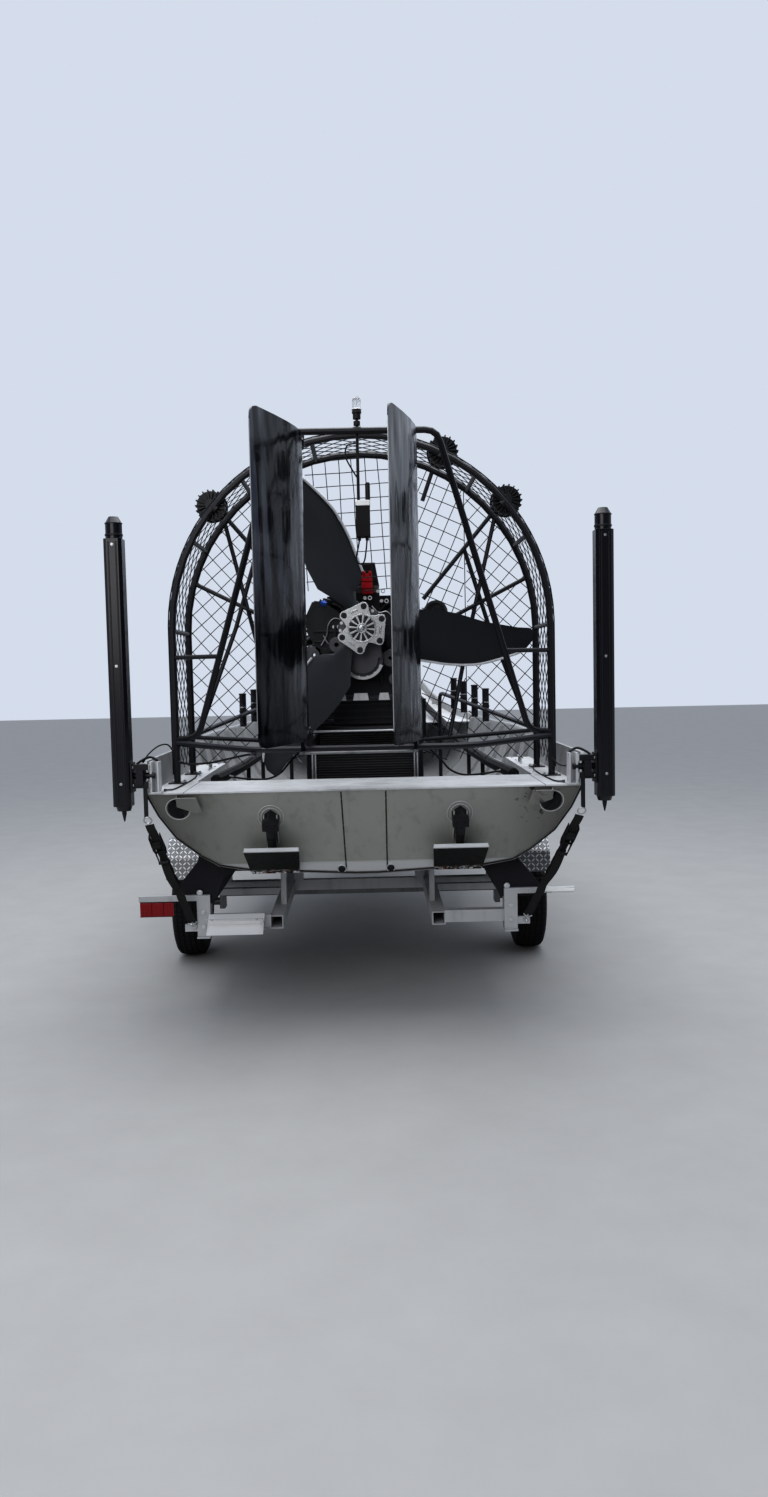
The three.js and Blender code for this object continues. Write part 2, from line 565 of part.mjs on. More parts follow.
// Rudders: symmetric aerofoils that turn on pins ahead of their leading edges
const FOIL = 0.12;
const foilHalf = (t) => FOIL * RUDDER_CHORD * 5
  * (0.2969 * Math.sqrt(t) - 0.126 * t - 0.3516 * t ** 2 + 0.2843 * t ** 3 - 0.1036 * t ** 4);
const FOIL_STEPS = [0, 0.012, 0.05, 0.12, 0.25, 0.42, 0.62, 0.82, 1];
const foilOutline = [
  ...FOIL_STEPS.map((t) => [Math.max(foilHalf(t), t === 0 ? 0 : 1.5), -RUDDER_NOSE - t * RUDDER_CHORD]),
  ...FOIL_STEPS.slice(1).reverse()
    .map((t) => [-Math.max(foilHalf(t), 1.5), -RUDDER_NOSE - t * RUDDER_CHORD]),
];
const CORNER = 70;
// Centres of the side view's rounded corners, from the lower trailing one round
const cornerCentres = [
  [-RUDDER_TAIL + CORNER, RUDDER_LOW + CORNER], [-RUDDER_NOSE - CORNER, RUDDER_LOW + CORNER],
  [-RUDDER_NOSE - CORNER, RUDDER_HIGH - CORNER], [-RUDDER_TAIL + CORNER, RUDDER_HIGH - CORNER],
];
const sideOutline = cornerCentres.flatMap(([y, z], k) => [0, 30, 60, 90].map((turn) => {
  const angle = (180 + 90 * k + turn) * RAD;
  return [y + CORNER * Math.cos(angle), z + CORNER * Math.sin(angle)];
}));
const foil = extrude(foilOutline, RUDDER_LOW, RUDDER_HIGH, "xy")
  .intersect(extrude(sideOutline, -100, 100, "yz"));
const knuckle = (z) => join(
  ...[-1, 1].map((up) => join(
    block(-11, -RUDDER_NOSE - 60, z + up * 15 - 5, 11, 0, z + up * 15 + 5),
    rod([0, 0, z + up * 15 - 5], [0, 0, z + up * 15 + 5], 14, 12))),
  rod([0, 0, z - 21], [0, 0, z + 21], PIN_RADIUS, 12));
const HORN = 105; // behind the pin, where the tie rod is pinned
const HORN_Z = 1460;
const horn = join(
  block(-9, -HORN, HORN_Z - 4, 9, -RUDDER_NOSE - 30, HORN_Z + 4),
  rod([0, -HORN, HORN_Z - 4], [0, -HORN, HORN_Z + 4], 14, 12),
  block(-9, -RUDDER_NOSE - 70, HORN_Z - 4, 9, -RUDDER_NOSE - 45, RUDDER_LOW + 30));
for (const [name, side] of [["left", -1], ["right", 1]]) {
  const rudder = join(foil, ...HINGES.map(([z]) => knuckle(z)), horn);
  piece(`rudder_${name}`, rudder.rotate([0, 0, RUDDER_REST[name]]).translate([side * RUDDER_X, 0, 0]),
    glossBlack);
}
const hornEnd = (side, rest) => {
  const end = new THREE.Vector2(0, -HORN).rotateAround(new THREE.Vector2(), rest * RAD);
  return [side * RUDDER_X + end.x, end.y];
};
const tieEnds = [hornEnd(-1, RUDDER_REST.left), hornEnd(1, RUDDER_REST.right)];
piece("rudder_tie_rod", join(
  rod([...tieEnds[0], HORN_Z - 13], [...tieEnds[1], HORN_Z - 13], 7, 8),
  ...tieEnds.map((end) => rod([...end, HORN_Z - 20], [...end, HORN_Z - 4 - GAP], 13, 12))), steel);

// Seats

const SEAT_Z = 1760;
const seatFrame = (x, y0, y1, top) => [-1, 1].flatMap((side) => [
  rod([side * x, y0, FLOOR_Z + GAP], [side * x, y0, top], 16, 8),
  rod([side * x, y1, FLOOR_Z + GAP], [side * x, y1, top], 16, 8),
  rod([side * x, y0, top], [side * x, y1, top], 16, 8),
  rod([side * x, y0, 1150], [side * x, y1, 1150], 16, 8),
]);
const crossBar = (x, y, z) => rod([-x, y, z], [x, y, z], 16, 8);
piece("seat_stand", join(
  ...seatFrame(230, 1980, 2420, SEAT_Z - 17),
  crossBar(230, 1980, 1150), crossBar(230, 2420, 1150), crossBar(230, 1980, SEAT_Z - 17),
  crossBar(230, 2420, SEAT_Z - 17), block(-230, 2400, 1290, 230, 2620, 1300),
), bareAluminium);
const seatShape = (y, z, back) => [
  [y, z], [y + 470, z], [y + 480, z + 90], [y + 110, z + 110], [y - 20, z + back], [y - 100, z + back - 10],
  [y - 10, z + 60],
];
piece("driver_seat", extrude(seatShape(1990, SEAT_Z - 1 + GAP, 640), -245, 245, "yz"), cushion);

const BENCH_Z = 1210;
piece("passenger_seat", join(
  extrude(seatShape(2800, BENCH_Z, 470), -470, 470, "yz"),
  ...[-1, 1].map((side) => sideBlock(side, 380, 2850, FLOOR_Z + GAP, 420, 3220, BENCH_Z + 1)),
), cushion);

piece("rudder_stick", join(
  rod([-330, 2350, FLOOR_Z + GAP], [-330, 2350, 1500], 14, 8),
  tube(rounded([[-330, 2350, 1500], [-330, 2420, 1900], [-330, 2400, 2150]], 60, 3), 14, 8),
), steel);

// Rails beside the cockpit with four rod holders each
const RAIL_FROM = [1001, FRONT_HOOP_Y + 40, 1497];
const RAIL_TO = [560, 2620, 1680];
const HOLDERS = [0.484, 0.609, 0.74, 0.863];
const HOLDER_LENGTH = 215;
for (const [name, side] of [["left", -1], ["right", 1]]) {
  const at = (t) => RAIL_FROM.map((from, i) => (i ? 1 : side) * (from + (RAIL_TO[i] - from) * t));
  const start = [side * (CAGE_RADIUS - 20), FRONT_HOOP_Y + CAGE_TUBE + 6, LOW_BAR_Z + 10];
  piece(`side_rail_${name}`, join(
    rod(start, at(0.02), 13, 8),
    tube(rounded([at(0), at(1), [side * RAIL_TO[0], RAIL_TO[1], FLOOR_Z + GAP]], 70, 3), 14, 8),
    ...HOLDERS.map((t) => {
      const [x, y, z] = at(t);
      return rod([x + side * 30, y, z + 18 - HOLDER_LENGTH / 2], [x + side * 30, y, z + 18 + HOLDER_LENGTH / 2],
        23, 10);
    }),
  ), blackPaint);
}

// Light mast on the rudder frame's top bar, and the breather tank that hangs from it
const MAST_X = 0;
const MAST_Y = FRAME_Y + FRAME_TUBE + 9 + GAP;
piece("light_mast", join(
  rod([MAST_X, MAST_Y, 2705], [MAST_X, MAST_Y, 3160], 9, 8),
  rod([MAST_X, MAST_Y, 3155], [MAST_X, MAST_Y, 3229], 26, 12),
  rod([MAST_X, MAST_Y, 3090], [MAST_X, MAST_Y, 3110], 22, 12),
  block(-16, MAST_Y - 30, 2529, 57, MAST_Y + 30, 2711),
  rod([47, MAST_Y, 2700], [47, MAST_Y, 2812], 13, 10),
), castMetal);

// Stern anchors: columns, brackets and the spikes that slide in them

const COLUMN_Y = -30;
const SPIKE_RADIUS = 12;
const columnFace = COLUMN_X - 45 - GAP;
for (const [name, side] of [["left", -1], ["right", 1]]) {
  const x = side * COLUMN_X;
  const shaft = extrude([[-45, -38], [-30, -52], [30, -52], [45, -38], [45, 38], [30, 52], [-30, 52], [-45, 38]]
    .map(([u, v]) => [x + u, COLUMN_Y + v]), COLUMN_LOW + 25, COLUMN_HIGH - 110, "xy");
  const head = join(
    rod([x, COLUMN_Y, COLUMN_HIGH - 111], [x, COLUMN_Y, COLUMN_HIGH - 30], 42, 12),
    rod([x, COLUMN_Y, COLUMN_HIGH - 31], [x, COLUMN_Y, COLUMN_HIGH], 42, 12, 24));
  const nozzle = rod([x, COLUMN_Y, COLUMN_LOW], [x, COLUMN_Y, COLUMN_LOW + 26], 34, 12, 42);
  const bore = join(
    rod([x, COLUMN_Y, COLUMN_LOW + 40], [x, COLUMN_Y, COLUMN_HIGH - 90], SPIKE_RADIUS + 5, 12),
    rod([x, COLUMN_Y, COLUMN_LOW - 1], [x, COLUMN_Y, COLUMN_LOW + 41], SPIKE_RADIUS + 0.75, 12));
  piece(`anchor_column_${name}`, cut(join(shaft, head, nozzle), bore), glossBlack);
  piece(`anchor_spike_${name}`, join(
    rod([x, COLUMN_Y, COLUMN_LOW - 15], [x, COLUMN_Y, COLUMN_HIGH - 100], SPIKE_RADIUS, 12),
    rod([x, COLUMN_Y, COLUMN_LOW - 55], [x, COLUMN_Y, COLUMN_LOW - 14], 3, 12, SPIKE_RADIUS)), steel);
  piece(`anchor_bracket_${name}`, join(
    sideBlock(side, 1030, -35, deckFoot, 1085, 60, deckFoot + 8),
    sideBlock(side, 1040, -35, deckFoot, 1048, 40, 1415),
    sideBlock(side, 1074, -35, deckFoot, 1085, 40, 1415),
    sideBlock(side, 1040, 30, deckFoot, 1085, 40, 1415),
    sideBlock(side, 1084, -60, 1285, columnFace, 0, 1315),
    sideBlock(side, 1084, -60, 1375, columnFace, 0, 1405),
    sideBlock(side, columnFace - 10, -75, 1265, columnFace, 10, 1415),
    sideBlock(side, 1098, -45, 1135, 1118, -33, 1300),
  ), deckAluminium);
}

// Trim tabs, with cylinders between them and the transom

const tabDirection = [-Math.cos(TAB_RAISED * RAD), Math.sin(TAB_RAISED * RAD)];
const tabNormal = [Math.sin(TAB_RAISED * RAD), Math.cos(TAB_RAISED * RAD)];
const onTab = (along, up) => [
  TAB_HINGE[0] + along * tabDirection[0] + up * tabNormal[0],
  TAB_HINGE[1] + along * tabDirection[1] + up * tabNormal[1],
];
const EYE_UP = 30;
const eye = onTab(TAB_PIN, EYE_UP);
const strokeLine = new THREE.Vector2(eye[0] - CYLINDER_TOP[0], eye[1] - CYLINDER_TOP[1]);
const strokeLength = strokeLine.length();
const strokeUnit = strokeLine.clone().normalize();
const downStroke = (x, distance) =>
  [x, CYLINDER_TOP[0] + strokeUnit.x * distance, CYLINDER_TOP[1] + strokeUnit.y * distance];
for (const [name, side] of [["left", -1], ["right", 1]]) {
  const x = side * TAB_X;
  const plan = [[-131, 18], [131, 18], [144, TAB_CHORD], [-144, TAB_CHORD]];
  const tabRing = (up) => plan.map(([u, v]) => {
    const [y, z] = onTab(v, up);
    return [x + u, y, z];
  });
  const lip = [[-141, TAB_CHORD - 6], [141, TAB_CHORD - 6], [141, TAB_CHORD - 1], [-141, TAB_CHORD - 1]];
  const lipRing = (up) => lip.map(([u, v]) => {
    const [y, z] = onTab(v, up);
    return [x + u, y, z];
  });
  const lug = (u) => loft([u - 3, u + 3].map((offset) =>
    [[TAB_PIN - 22, 1], [TAB_PIN + 22, 1], [TAB_PIN + 10, EYE_UP + 12], [TAB_PIN - 10, EYE_UP + 12]]
      .map(([v, up]) => {
        const [y, z] = onTab(v, up);
        return [x + offset, y, z];
      })));
  piece(`trim_tab_${name}`, join(loft([tabRing(-2.5), tabRing(2.5)]), loft([lipRing(0), lipRing(18)]),
    rod([x - 128, TAB_HINGE[0], TAB_HINGE[1]], [x + 128, TAB_HINGE[0], TAB_HINGE[1]], 7, 10),
    loft([-125, 125].map((u) => [[0, -1.5], [26, -1.5], [26, 1.5], [0, 1.5]].map(([v, up]) => {
      const [y, z] = onTab(v, up);
      return [x + u, y, z];
    }))), lug(-16), lug(16)), castMetal);
  piece(`tab_cylinder_${name}`, cut(join(
    rod(downStroke(x, 8), downStroke(x, 108), 25, 12),
    rod([x - 30, ...CYLINDER_TOP], [x + 30, ...CYLINDER_TOP], 14, 12)),
  rod(downStroke(x, 30), downStroke(x, 120), 8.8, 12)), blackPaint);
  piece(`tab_rod_${name}`, join(
    rod(downStroke(x, 36), downStroke(x, strokeLength), 8.2, 10),
    rod([x - 9, ...eye], [x + 9, ...eye], 9, 10)), steel);
}

// Trailer

const onTrailer = (body) => body.translate([TRAILER_X, 0, 0]);
const rails = [-1, 1].map((side) => {
  const straight = sideBlock(side, RAIL_X - RAIL / 2, RAIL_END_Y, RAIL_TOP - RAIL, RAIL_X + RAIL / 2, 4300,
    RAIL_TOP);
  const pocket = sideBlock(side, RAIL_X - RAIL / 2 + 5, RAIL_END_Y - 5, RAIL_TOP - RAIL + 5,
    RAIL_X + RAIL / 2 - 5, RAIL_END_Y + 260, RAIL_TOP - 5);
  const inward = extrude([[RAIL_X - RAIL / 2, 4290], [RAIL_X + RAIL / 2, 4290], [48, 5250], [-28, 5250]]
    .map(([x, y]) => [side * x, y]), RAIL_TOP - RAIL, RAIL_TOP, "xy");
  return cut(join(straight, inward), pocket);
});
const CROSS_Y = [1420, 2400, 3300, 4200];
const INNER_BUNK_X = 390;
const innerBunks = [-1, 1].map((side) => join(
  sideBlock(side, INNER_BUNK_X - 60, 620, 715, INNER_BUNK_X + 60, 3500, 800),
  ...CROSS_Y.slice(0, 3).map((y) =>
    sideBlock(side, INNER_BUNK_X - 30, y - 30, RAIL_TOP - 20, INNER_BUNK_X + 30, y + 30, 720)),
  sideBlock(side, INNER_BUNK_X + 20, 640, RAIL_TOP - 20, INNER_BUNK_X + 50, 680, 720)));
const FENDER_ARM_Y = [1235, 2065];
const POST_X = [802, 874];
const BAR_X = 1188; // end of the bars that carry the tail lamps
const BAR_LOW = 622;
const rearPosts = [-1, 1].map((side) => join(
  sideBlock(side, RAIL_X + 30, RAIL_END_Y, 466, POST_X[0] + 5, RAIL_END_Y + 60, 532),
  sideBlock(side, POST_X[0], 335, 419, POST_X[1], RAIL_END_Y + 60, BUNK_Z - GAP),
  sideBlock(side, POST_X[0], 310, 419, POST_X[1], 345, 428),
  sideBlock(side, POST_X[0], 335, 590, POST_X[1], 359, BAR_LOW + 30),
  sideBlock(side, POST_X[0] + 20, 335, BAR_LOW, BAR_X, 359, BAR_LOW + 30),
  sideBlock(side, POST_X[1] - 5, 345, 452, 943, 370, 490),
  ...CROSS_Y.slice(0, 3).map((y) => sideBlock(side, 820, y - 30, RAIL_TOP - 30, 880, y + 30, BUNK_Z - GAP)),
  ...FENDER_ARM_Y.map((y) => sideBlock(side, RAIL_X, y - 22, 470, FENDER_X[0] - GAP, y + 22, 510)),
  ...FENDER_ARM_Y.map((y) => sideBlock(side, FENDER_X[0] - 10, y - 22, 470, FENDER_X[0] - GAP, y + 22, 598))));
const jackBore = rod([JACK_X, JACK_Y, 200], [JACK_X, JACK_Y, 930], 25, 16);
const coupler = join(
  block(-38, 4900, RAIL_TOP - RAIL, 38, NOSE_Y - 150, RAIL_TOP),
  extrude([[NOSE_Y - 260, 500], [NOSE_Y - 20, 470], [NOSE_Y, 490], [NOSE_Y, 545], [NOSE_Y - 40, 575],
    [NOSE_Y - 260, 545]], -45, 45, "yz"));
const PLATE_TOP = [-658, 546]; // x from the trailer's middle, z
const trailerFrame = join(
  ...rails, ...innerBunks, ...rearPosts,
  block(PLATE_TOP[0] - 40, 335, 515, PLATE_TOP[0] + 40, RAIL_END_Y + 1, PLATE_TOP[1]),
  ...CROSS_Y.map((y) => block(-888, y - 25, RAIL_TOP - RAIL, 888, y + 25, RAIL_TOP - 5)),
  coupler,
  rod([JACK_X, JACK_Y, 262], [JACK_X, JACK_Y, 980], 34, 14),
  block(0, JACK_Y - 45, RAIL_TOP - 60, JACK_X, JACK_Y + 45, RAIL_TOP - 15),
  rod([JACK_X, JACK_Y, 955], [JACK_X + 150, JACK_Y, 955], 9, 8),
  rod([JACK_X + 145, JACK_Y, 955], [JACK_X + 145, JACK_Y - 90, 955], 12, 8),
);
piece("trailer_frame", cut(onTrailer(cut(trailerFrame, jackBore)), hullClear), bareAluminium);

// Outer bunks, carpeted and shaped to the turn of the bilge
const BUNK_END_Y = [360, 3500];
const BUNK_SECTION = [[825, 885], [997, 673], [980, BUNK_Z], [784, BUNK_Z], [722, 745], [650, 785], [640, 830]];
for (const [name, side] of [["left", -1], ["right", 1]]) {
  const bunk = extrude(BUNK_SECTION.map(([x, z]) => [side * x, z]), ...BUNK_END_Y);
  piece(`bunk_${name}`, cut(onTrailer(bunk), hullClear), carpet);
}

const AXLE_Z = 343;
piece("axle", onTrailer(join(
  block(-930, AXLE_Y - 30, 380, 930, AXLE_Y + 30, RAIL_TOP - RAIL - GAP),
  ...[-1, 1].flatMap((side) => [
    sideBlock(side, 895, AXLE_Y - 45, 300, 930, AXLE_Y + 45, 430),
    rod([side * 929, AXLE_Y, AXLE_Z], [side * (WHEEL_X + 20), AXLE_Y, AXLE_Z], 25, 24)]))), steel);

// Half section of a wheel with its tyre, from the hub cap round to the bore: radius, across
const WHEEL_SECTION = [
  [0, 62], [34, 60], [42, 30], [125, 22], [165, 30], [186, 70], [196, 86], [245, 95], [305, 92], [334, 79],
  [WHEEL_RADIUS, 58], [WHEEL_RADIUS, -58], [334, -79], [305, -92], [245, -95], [196, -86], [180, -66],
  [150, -20], [60, -12], [48, -80], [26, -80], [26, 40], [0, 40],
];
const wheelGeometry = new THREE.LatheGeometry(WHEEL_SECTION.map(([r, x]) => new THREE.Vector2(r, x)), 24);
for (const [name, side] of [["left", -1], ["right", 1]]) {
  const turned = wheelGeometry.clone().rotateZ(-side * Math.PI / 2);
  const made = solid(turned);
  const wheel = made.volume() < 0 ? solid(flipped(turned)) : made;
  piece(`wheel_${name}`, wheel.translate([TRAILER_X + side * WHEEL_X, AXLE_Y, WHEEL_RADIUS]), rubber);
}

// Fenders: a bent sheet over each wheel, with a skirt on the inner side
const FENDER_TOP = 810;
const FENDER = [[1205, 575], [1240, 700], [1370, FENDER_TOP], [1930, FENDER_TOP], [2060, 700], [2095, 575]];
const fenderInner = FENDER.map(([y, z]) => [AXLE_Y + (y - AXLE_Y) * (1 - 6 / 440), z - (z > 600 ? 6 : 0)]);
for (const [name, side] of [["left", -1], ["right", 1]]) {
  const sheet = extrude([...FENDER, ...fenderInner.slice().reverse()], ...FENDER_X, "yz");
  const skirt = extrude([[1215, 575], ...FENDER.slice(1, 5), [2085, 575], [2035, 575], [2035, 640],
    [1980, 720], [1320, 720], [1265, 640], [1265, 575]], FENDER_X[0], FENDER_X[0] + 5, "yz");
  const half = join(sheet, skirt);
  piece(`fender_${name}`, onTrailer(side > 0 ? half : half.mirror([1, 0, 0])), deckAluminium);
}

// Winch post with the roller that the bow rests against
const POST_Y = 5360;
const winchPost = join(
  block(-30, POST_Y - 35, RAIL_TOP + GAP, 30, POST_Y + 35, 1500),
  block(-110, POST_Y - 20, 1150, 110, POST_Y + 60, 1300),
  rod([0, POST_Y + 20, 1480], [0, HULL_END_Y + 46, 1600], 24, 8),
  rod([-90, HULL_END_Y + 46, 1600], [150, HULL_END_Y + 46, 1600], 45, 14));
piece("winch_post", cut(onTrailer(winchPost), hullClear), steel);

piece("jack_leg", onTrailer(join(
  rod([JACK_X, JACK_Y, 6], [JACK_X, JACK_Y, 680], 24, 16),
  rod([JACK_X, JACK_Y, 0], [JACK_X, JACK_Y, 8], 85, 16))), steel);

// Left tail lamp under its bar, the blank number plate and the straps that hold the boat down
piece("tail_lamp", onTrailer(block(-BAR_X + 4, 330, BAR_LOW - 84, -996, 380, BAR_LOW - GAP)), lampRed);

const PLATE_TILT = 55;
const plate = block(-152.5, -2, -152, 152.5, 0, 0).rotate([-PLATE_TILT, 0, 0])
  .translate([PLATE_TOP[0], 335 - GAP, PLATE_TOP[1]]);
piece("number_plate", onTrailer(plate), plateWhite);

// The upper ends hang from the stern brackets and the lower ends are hooked to the trailer
const STRAPS = {
  left: [[-1107, -39, 1130], [-945, 339, 472]],
  right: [[1107, -39, 1130], [858, 339, 472]],
};
for (const [name, [top, low]] of Object.entries(STRAPS)) {
  const at = (t) => top.map((from, i) => from + (low[i] - from) * t);
  const flat = (from, to, width, thick) => {
    const middle = at((from + to) / 2);
    const direction = new THREE.Vector3(...at(to)).sub(new THREE.Vector3(...at(from)));
    const geometry = new THREE.BoxGeometry(width, thick, direction.length());
    geometry.applyQuaternion(new THREE.Quaternion().setFromUnitVectors(new THREE.Vector3(0, 0, 1),
      direction.normalize()));
    geometry.translate(...middle);
    return solid(geometry);
  };
  piece(`strap_${name}`, join(flat(0.05, 0.96, 48, 4), flat(0.1, 0.36, 60, 28),
    rod(at(0), at(0.06), 7, 8), rod(at(0.95), at(1), 7, 8)), webbing);
}

export default airboat;
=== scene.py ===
"""An aluminium airboat on its trailer: the finish of every surface and the fittings round its frame.

Written as a Blender 4.5 add-on and run as a script. Metres, +Z up, +Y towards the bow, +X to starboard.
Places along the boat are written from the transom's top edge, as its builder would measure them.
"""

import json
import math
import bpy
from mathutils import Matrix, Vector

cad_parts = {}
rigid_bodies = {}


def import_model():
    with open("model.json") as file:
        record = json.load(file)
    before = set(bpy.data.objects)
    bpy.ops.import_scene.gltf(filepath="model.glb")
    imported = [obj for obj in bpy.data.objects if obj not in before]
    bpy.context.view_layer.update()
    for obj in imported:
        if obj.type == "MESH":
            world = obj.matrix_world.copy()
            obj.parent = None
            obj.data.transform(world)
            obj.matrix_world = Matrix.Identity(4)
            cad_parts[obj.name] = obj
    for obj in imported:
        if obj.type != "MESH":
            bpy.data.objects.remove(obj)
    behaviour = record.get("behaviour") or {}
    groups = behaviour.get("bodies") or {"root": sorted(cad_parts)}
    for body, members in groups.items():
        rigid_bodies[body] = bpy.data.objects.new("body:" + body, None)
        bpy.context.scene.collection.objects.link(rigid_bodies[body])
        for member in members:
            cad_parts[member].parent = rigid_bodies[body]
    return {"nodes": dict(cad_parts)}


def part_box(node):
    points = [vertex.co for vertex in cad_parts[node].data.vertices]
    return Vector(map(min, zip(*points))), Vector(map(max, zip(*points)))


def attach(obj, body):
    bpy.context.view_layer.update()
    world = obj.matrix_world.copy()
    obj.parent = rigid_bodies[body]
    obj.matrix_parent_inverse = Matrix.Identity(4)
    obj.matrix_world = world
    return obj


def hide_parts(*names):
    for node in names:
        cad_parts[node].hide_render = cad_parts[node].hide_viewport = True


bl_info = {
    "name": "Airboat on Trailer",
    "version": (1, 0, 0),
    "blender": (4, 5, 0),
    "location": "3D View > Sidebar > Airboat",
    "description": "Finishes, fittings, hoses and seats for an airboat on its trailer",
    "category": "Object",
}

import bmesh
import bpy
from bpy.props import FloatProperty, FloatVectorProperty, IntProperty, PointerProperty
from mathutils import Matrix, Vector, noise

for leftover in list(bpy.data.objects):
    bpy.data.objects.remove(leftover)
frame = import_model()

HULL = "boat_on_trailer"  # the body that everything fixed rides on
TRANSOM_Y = -2.9  # the transom's top edge
TRANSOM_Z = 1.245
TRANSOM_RAKE = 0.585  # forward for each metre below its top edge
DECK_Z = 1.253
HUB = Vector((0.0, TRANSOM_Y + 0.69, 2.09))
REAR_HOOP_Y = 0.47
FRONT_HOOP_Y = 1.008
TRAILER_X = -0.056
CYLINDER_X = 0.49  # of the trim tabs' cylinders, to each side
MAST_Y = 0.0713  # the light mast's middle, ahead of the transom's top edge
SIDES = (("left", -1), ("right", 1))
ASTERN, AHEAD, UP = Vector((0, -1, 0)), Vector((0, 1, 0)), Vector((0, 0, 1))


def boat(x, y, z):
    """A point by its distance ahead of the transom's top edge."""
    return Vector((x, TRANSOM_Y + y, z))


def trailer(x, y, z):
    """A point measured from the trailer's own middle line."""
    return Vector((TRAILER_X + x, TRANSOM_Y + y, z))


def off(point, x=0.0, y=0.0, z=0.0):
    """A point moved along the axes."""
    return point + Vector((x, y, z))


def astern_view(radius, degrees, y, middle=HUB.z):
    """A point on an upright circle that is seen from astern."""
    turn = math.radians(degrees)
    return boat(radius * math.cos(turn), y, middle + radius * math.sin(turn))


TRANSOM_OUT = Vector((0, -1, -TRANSOM_RAKE)).normalized()


def on_transom(x, z, out=0.0):
    """A point on the transom's outer face, or out metres off it."""
    return boat(x, (TRANSOM_Z - z) * TRANSOM_RAKE, z) + TRANSOM_OUT * out


# Sizes and colours that a user would change


def colour(name, value, description):
    return FloatVectorProperty(
        name=name, description=description, subtype="COLOR", size=3, min=0, max=1, default=value
    )


def amount(name, value, description, **settings):
    return FloatProperty(name=name, description=description, default=value, **settings)


def length(name, value, description):
    return amount(name, value, description, unit="LENGTH", min=0, precision=4)


class AirboatStage(bpy.types.PropertyGroup):
    """The camera, the floor and the light."""

    camera_place: FloatVectorProperty(
        name="Camera place", description="Where the camera stands", subtype="TRANSLATION",
        unit="LENGTH", size=3, default=(0.0296, -8.4164, 1.8491),
    )
    yaw: amount("Yaw", -0.0131, "Turn of the camera to port", subtype="ANGLE")
    pitch: amount("Pitch", -0.0713, "Tilt of the camera above the horizon", subtype="ANGLE")
    roll: amount("Roll", -0.0210, "Lean of the camera about its own line", subtype="ANGLE")
    lens: amount("Lens", 26.134, "Focal length on a 36 mm long side", unit="CAMERA")
    floor_size: length("Floor size", 80.0, "Side of the square floor")
    floor_colour: colour("Floor", (0.36, 0.355, 0.345), "Plain pale floor")
    sky_colour: colour("Sky", (0.60, 0.65, 0.74), "Even light from above and ahead")
    dark_colour: colour("Dark side", (0.042, 0.044, 0.050), "Low light from behind the camera")
    sky_strength: amount("Sky strength", 1.25, "Brightness of the light tent", min=0)
    backdrop_strength: amount("Backdrop strength", 0.95, "Brightness of the seen backdrop", min=0)
    overhead_watts: amount("Overhead lamp", 420, "Power of the wide lamp above the boat", unit="POWER", min=0)
    fill_watts: amount("Fill lamp", 165, "Power of the lamp behind the camera", unit="POWER", min=0)


class AirboatColours(bpy.types.PropertyGroup):
    """Colours of the finishes."""

    aluminium: colour("Sheet aluminium", (0.37, 0.375, 0.38), "Hull and trailer")
    transom: colour("Transom", (0.35, 0.36, 0.33), "Transom plate")
    deck: colour("Deck plate", (0.62, 0.63, 0.645), "Deck plates and fenders")
    polished: colour("Polished aluminium", (0.46, 0.47, 0.48), "Hub plate and rims")
    black_paint: colour("Black paint", (0.0085, 0.0092, 0.0108), "Cage, rails and brackets")
    gloss_black: colour("Gloss black", (0.0036, 0.0042, 0.0062), "Rudders and anchor columns")
    # Haze: a painted reflection of the sky, as wavy pale streaks on the rudders' gloss black
    painted_reflection: colour("Haze", (0.070, 0.078, 0.105), "Hazed streaks on the gloss black")
    blade: colour("Blade", (0.017, 0.019, 0.023), "Propeller blades")
    blade_edge: colour("Blade edge", (0.62, 0.63, 0.65), "Strip along each leading edge")
    engine: colour("Engine", (0.022, 0.0235, 0.026), "Engine castings")
    tab: colour("Trim tab", (0.011, 0.012, 0.011), "Trim tab plates")
    steel: colour("Steel", (0.21, 0.215, 0.22), "Stand, axle and winch post")
    wire: colour("Net wire", (0.030, 0.032, 0.035), "Net of the cage")
    rubber: colour("Rubber", (0.012, 0.012, 0.013), "Tyres, hoses and coaming")
    vinyl: colour("Vinyl", (0.022, 0.023, 0.026), "Seat covers")
    carpet: colour("Carpet", (0.006, 0.0075, 0.016), "Bunk covers")
    webbing: colour("Webbing", (0.010, 0.010, 0.011), "Tie-down straps")
    lens_red: colour("Red lens", (0.24, 0.004, 0.008), "Tail lamp")
    coil_red: colour("Red coil", (0.52, 0.012, 0.02), "Coil block on the engine")
    coupling_blue: colour("Blue coupling", (0.015, 0.06, 0.30), "Hose couplings")
    plate: colour("Plate", (0.80, 0.81, 0.82), "Blank number plate")
    # White: the lamp bar's bare end, whitened partly as a painted highlight of its top lit by the sky
    white_and_highlight: colour("White paint", (0.93, 0.93, 0.91), "The bare end of the lamp bar")
    # Used for real grime and also as painted shade: the transom's darker outer edges and its black rim
    soot_and_shade: colour("Soot", (0.035, 0.032, 0.03), "Grime and scorch")
    rust: colour("Rust", (0.12, 0.048, 0.022), "Rust at chips")
    dust: colour("Dust", (0.30, 0.28, 0.25), "Dust on upper faces")


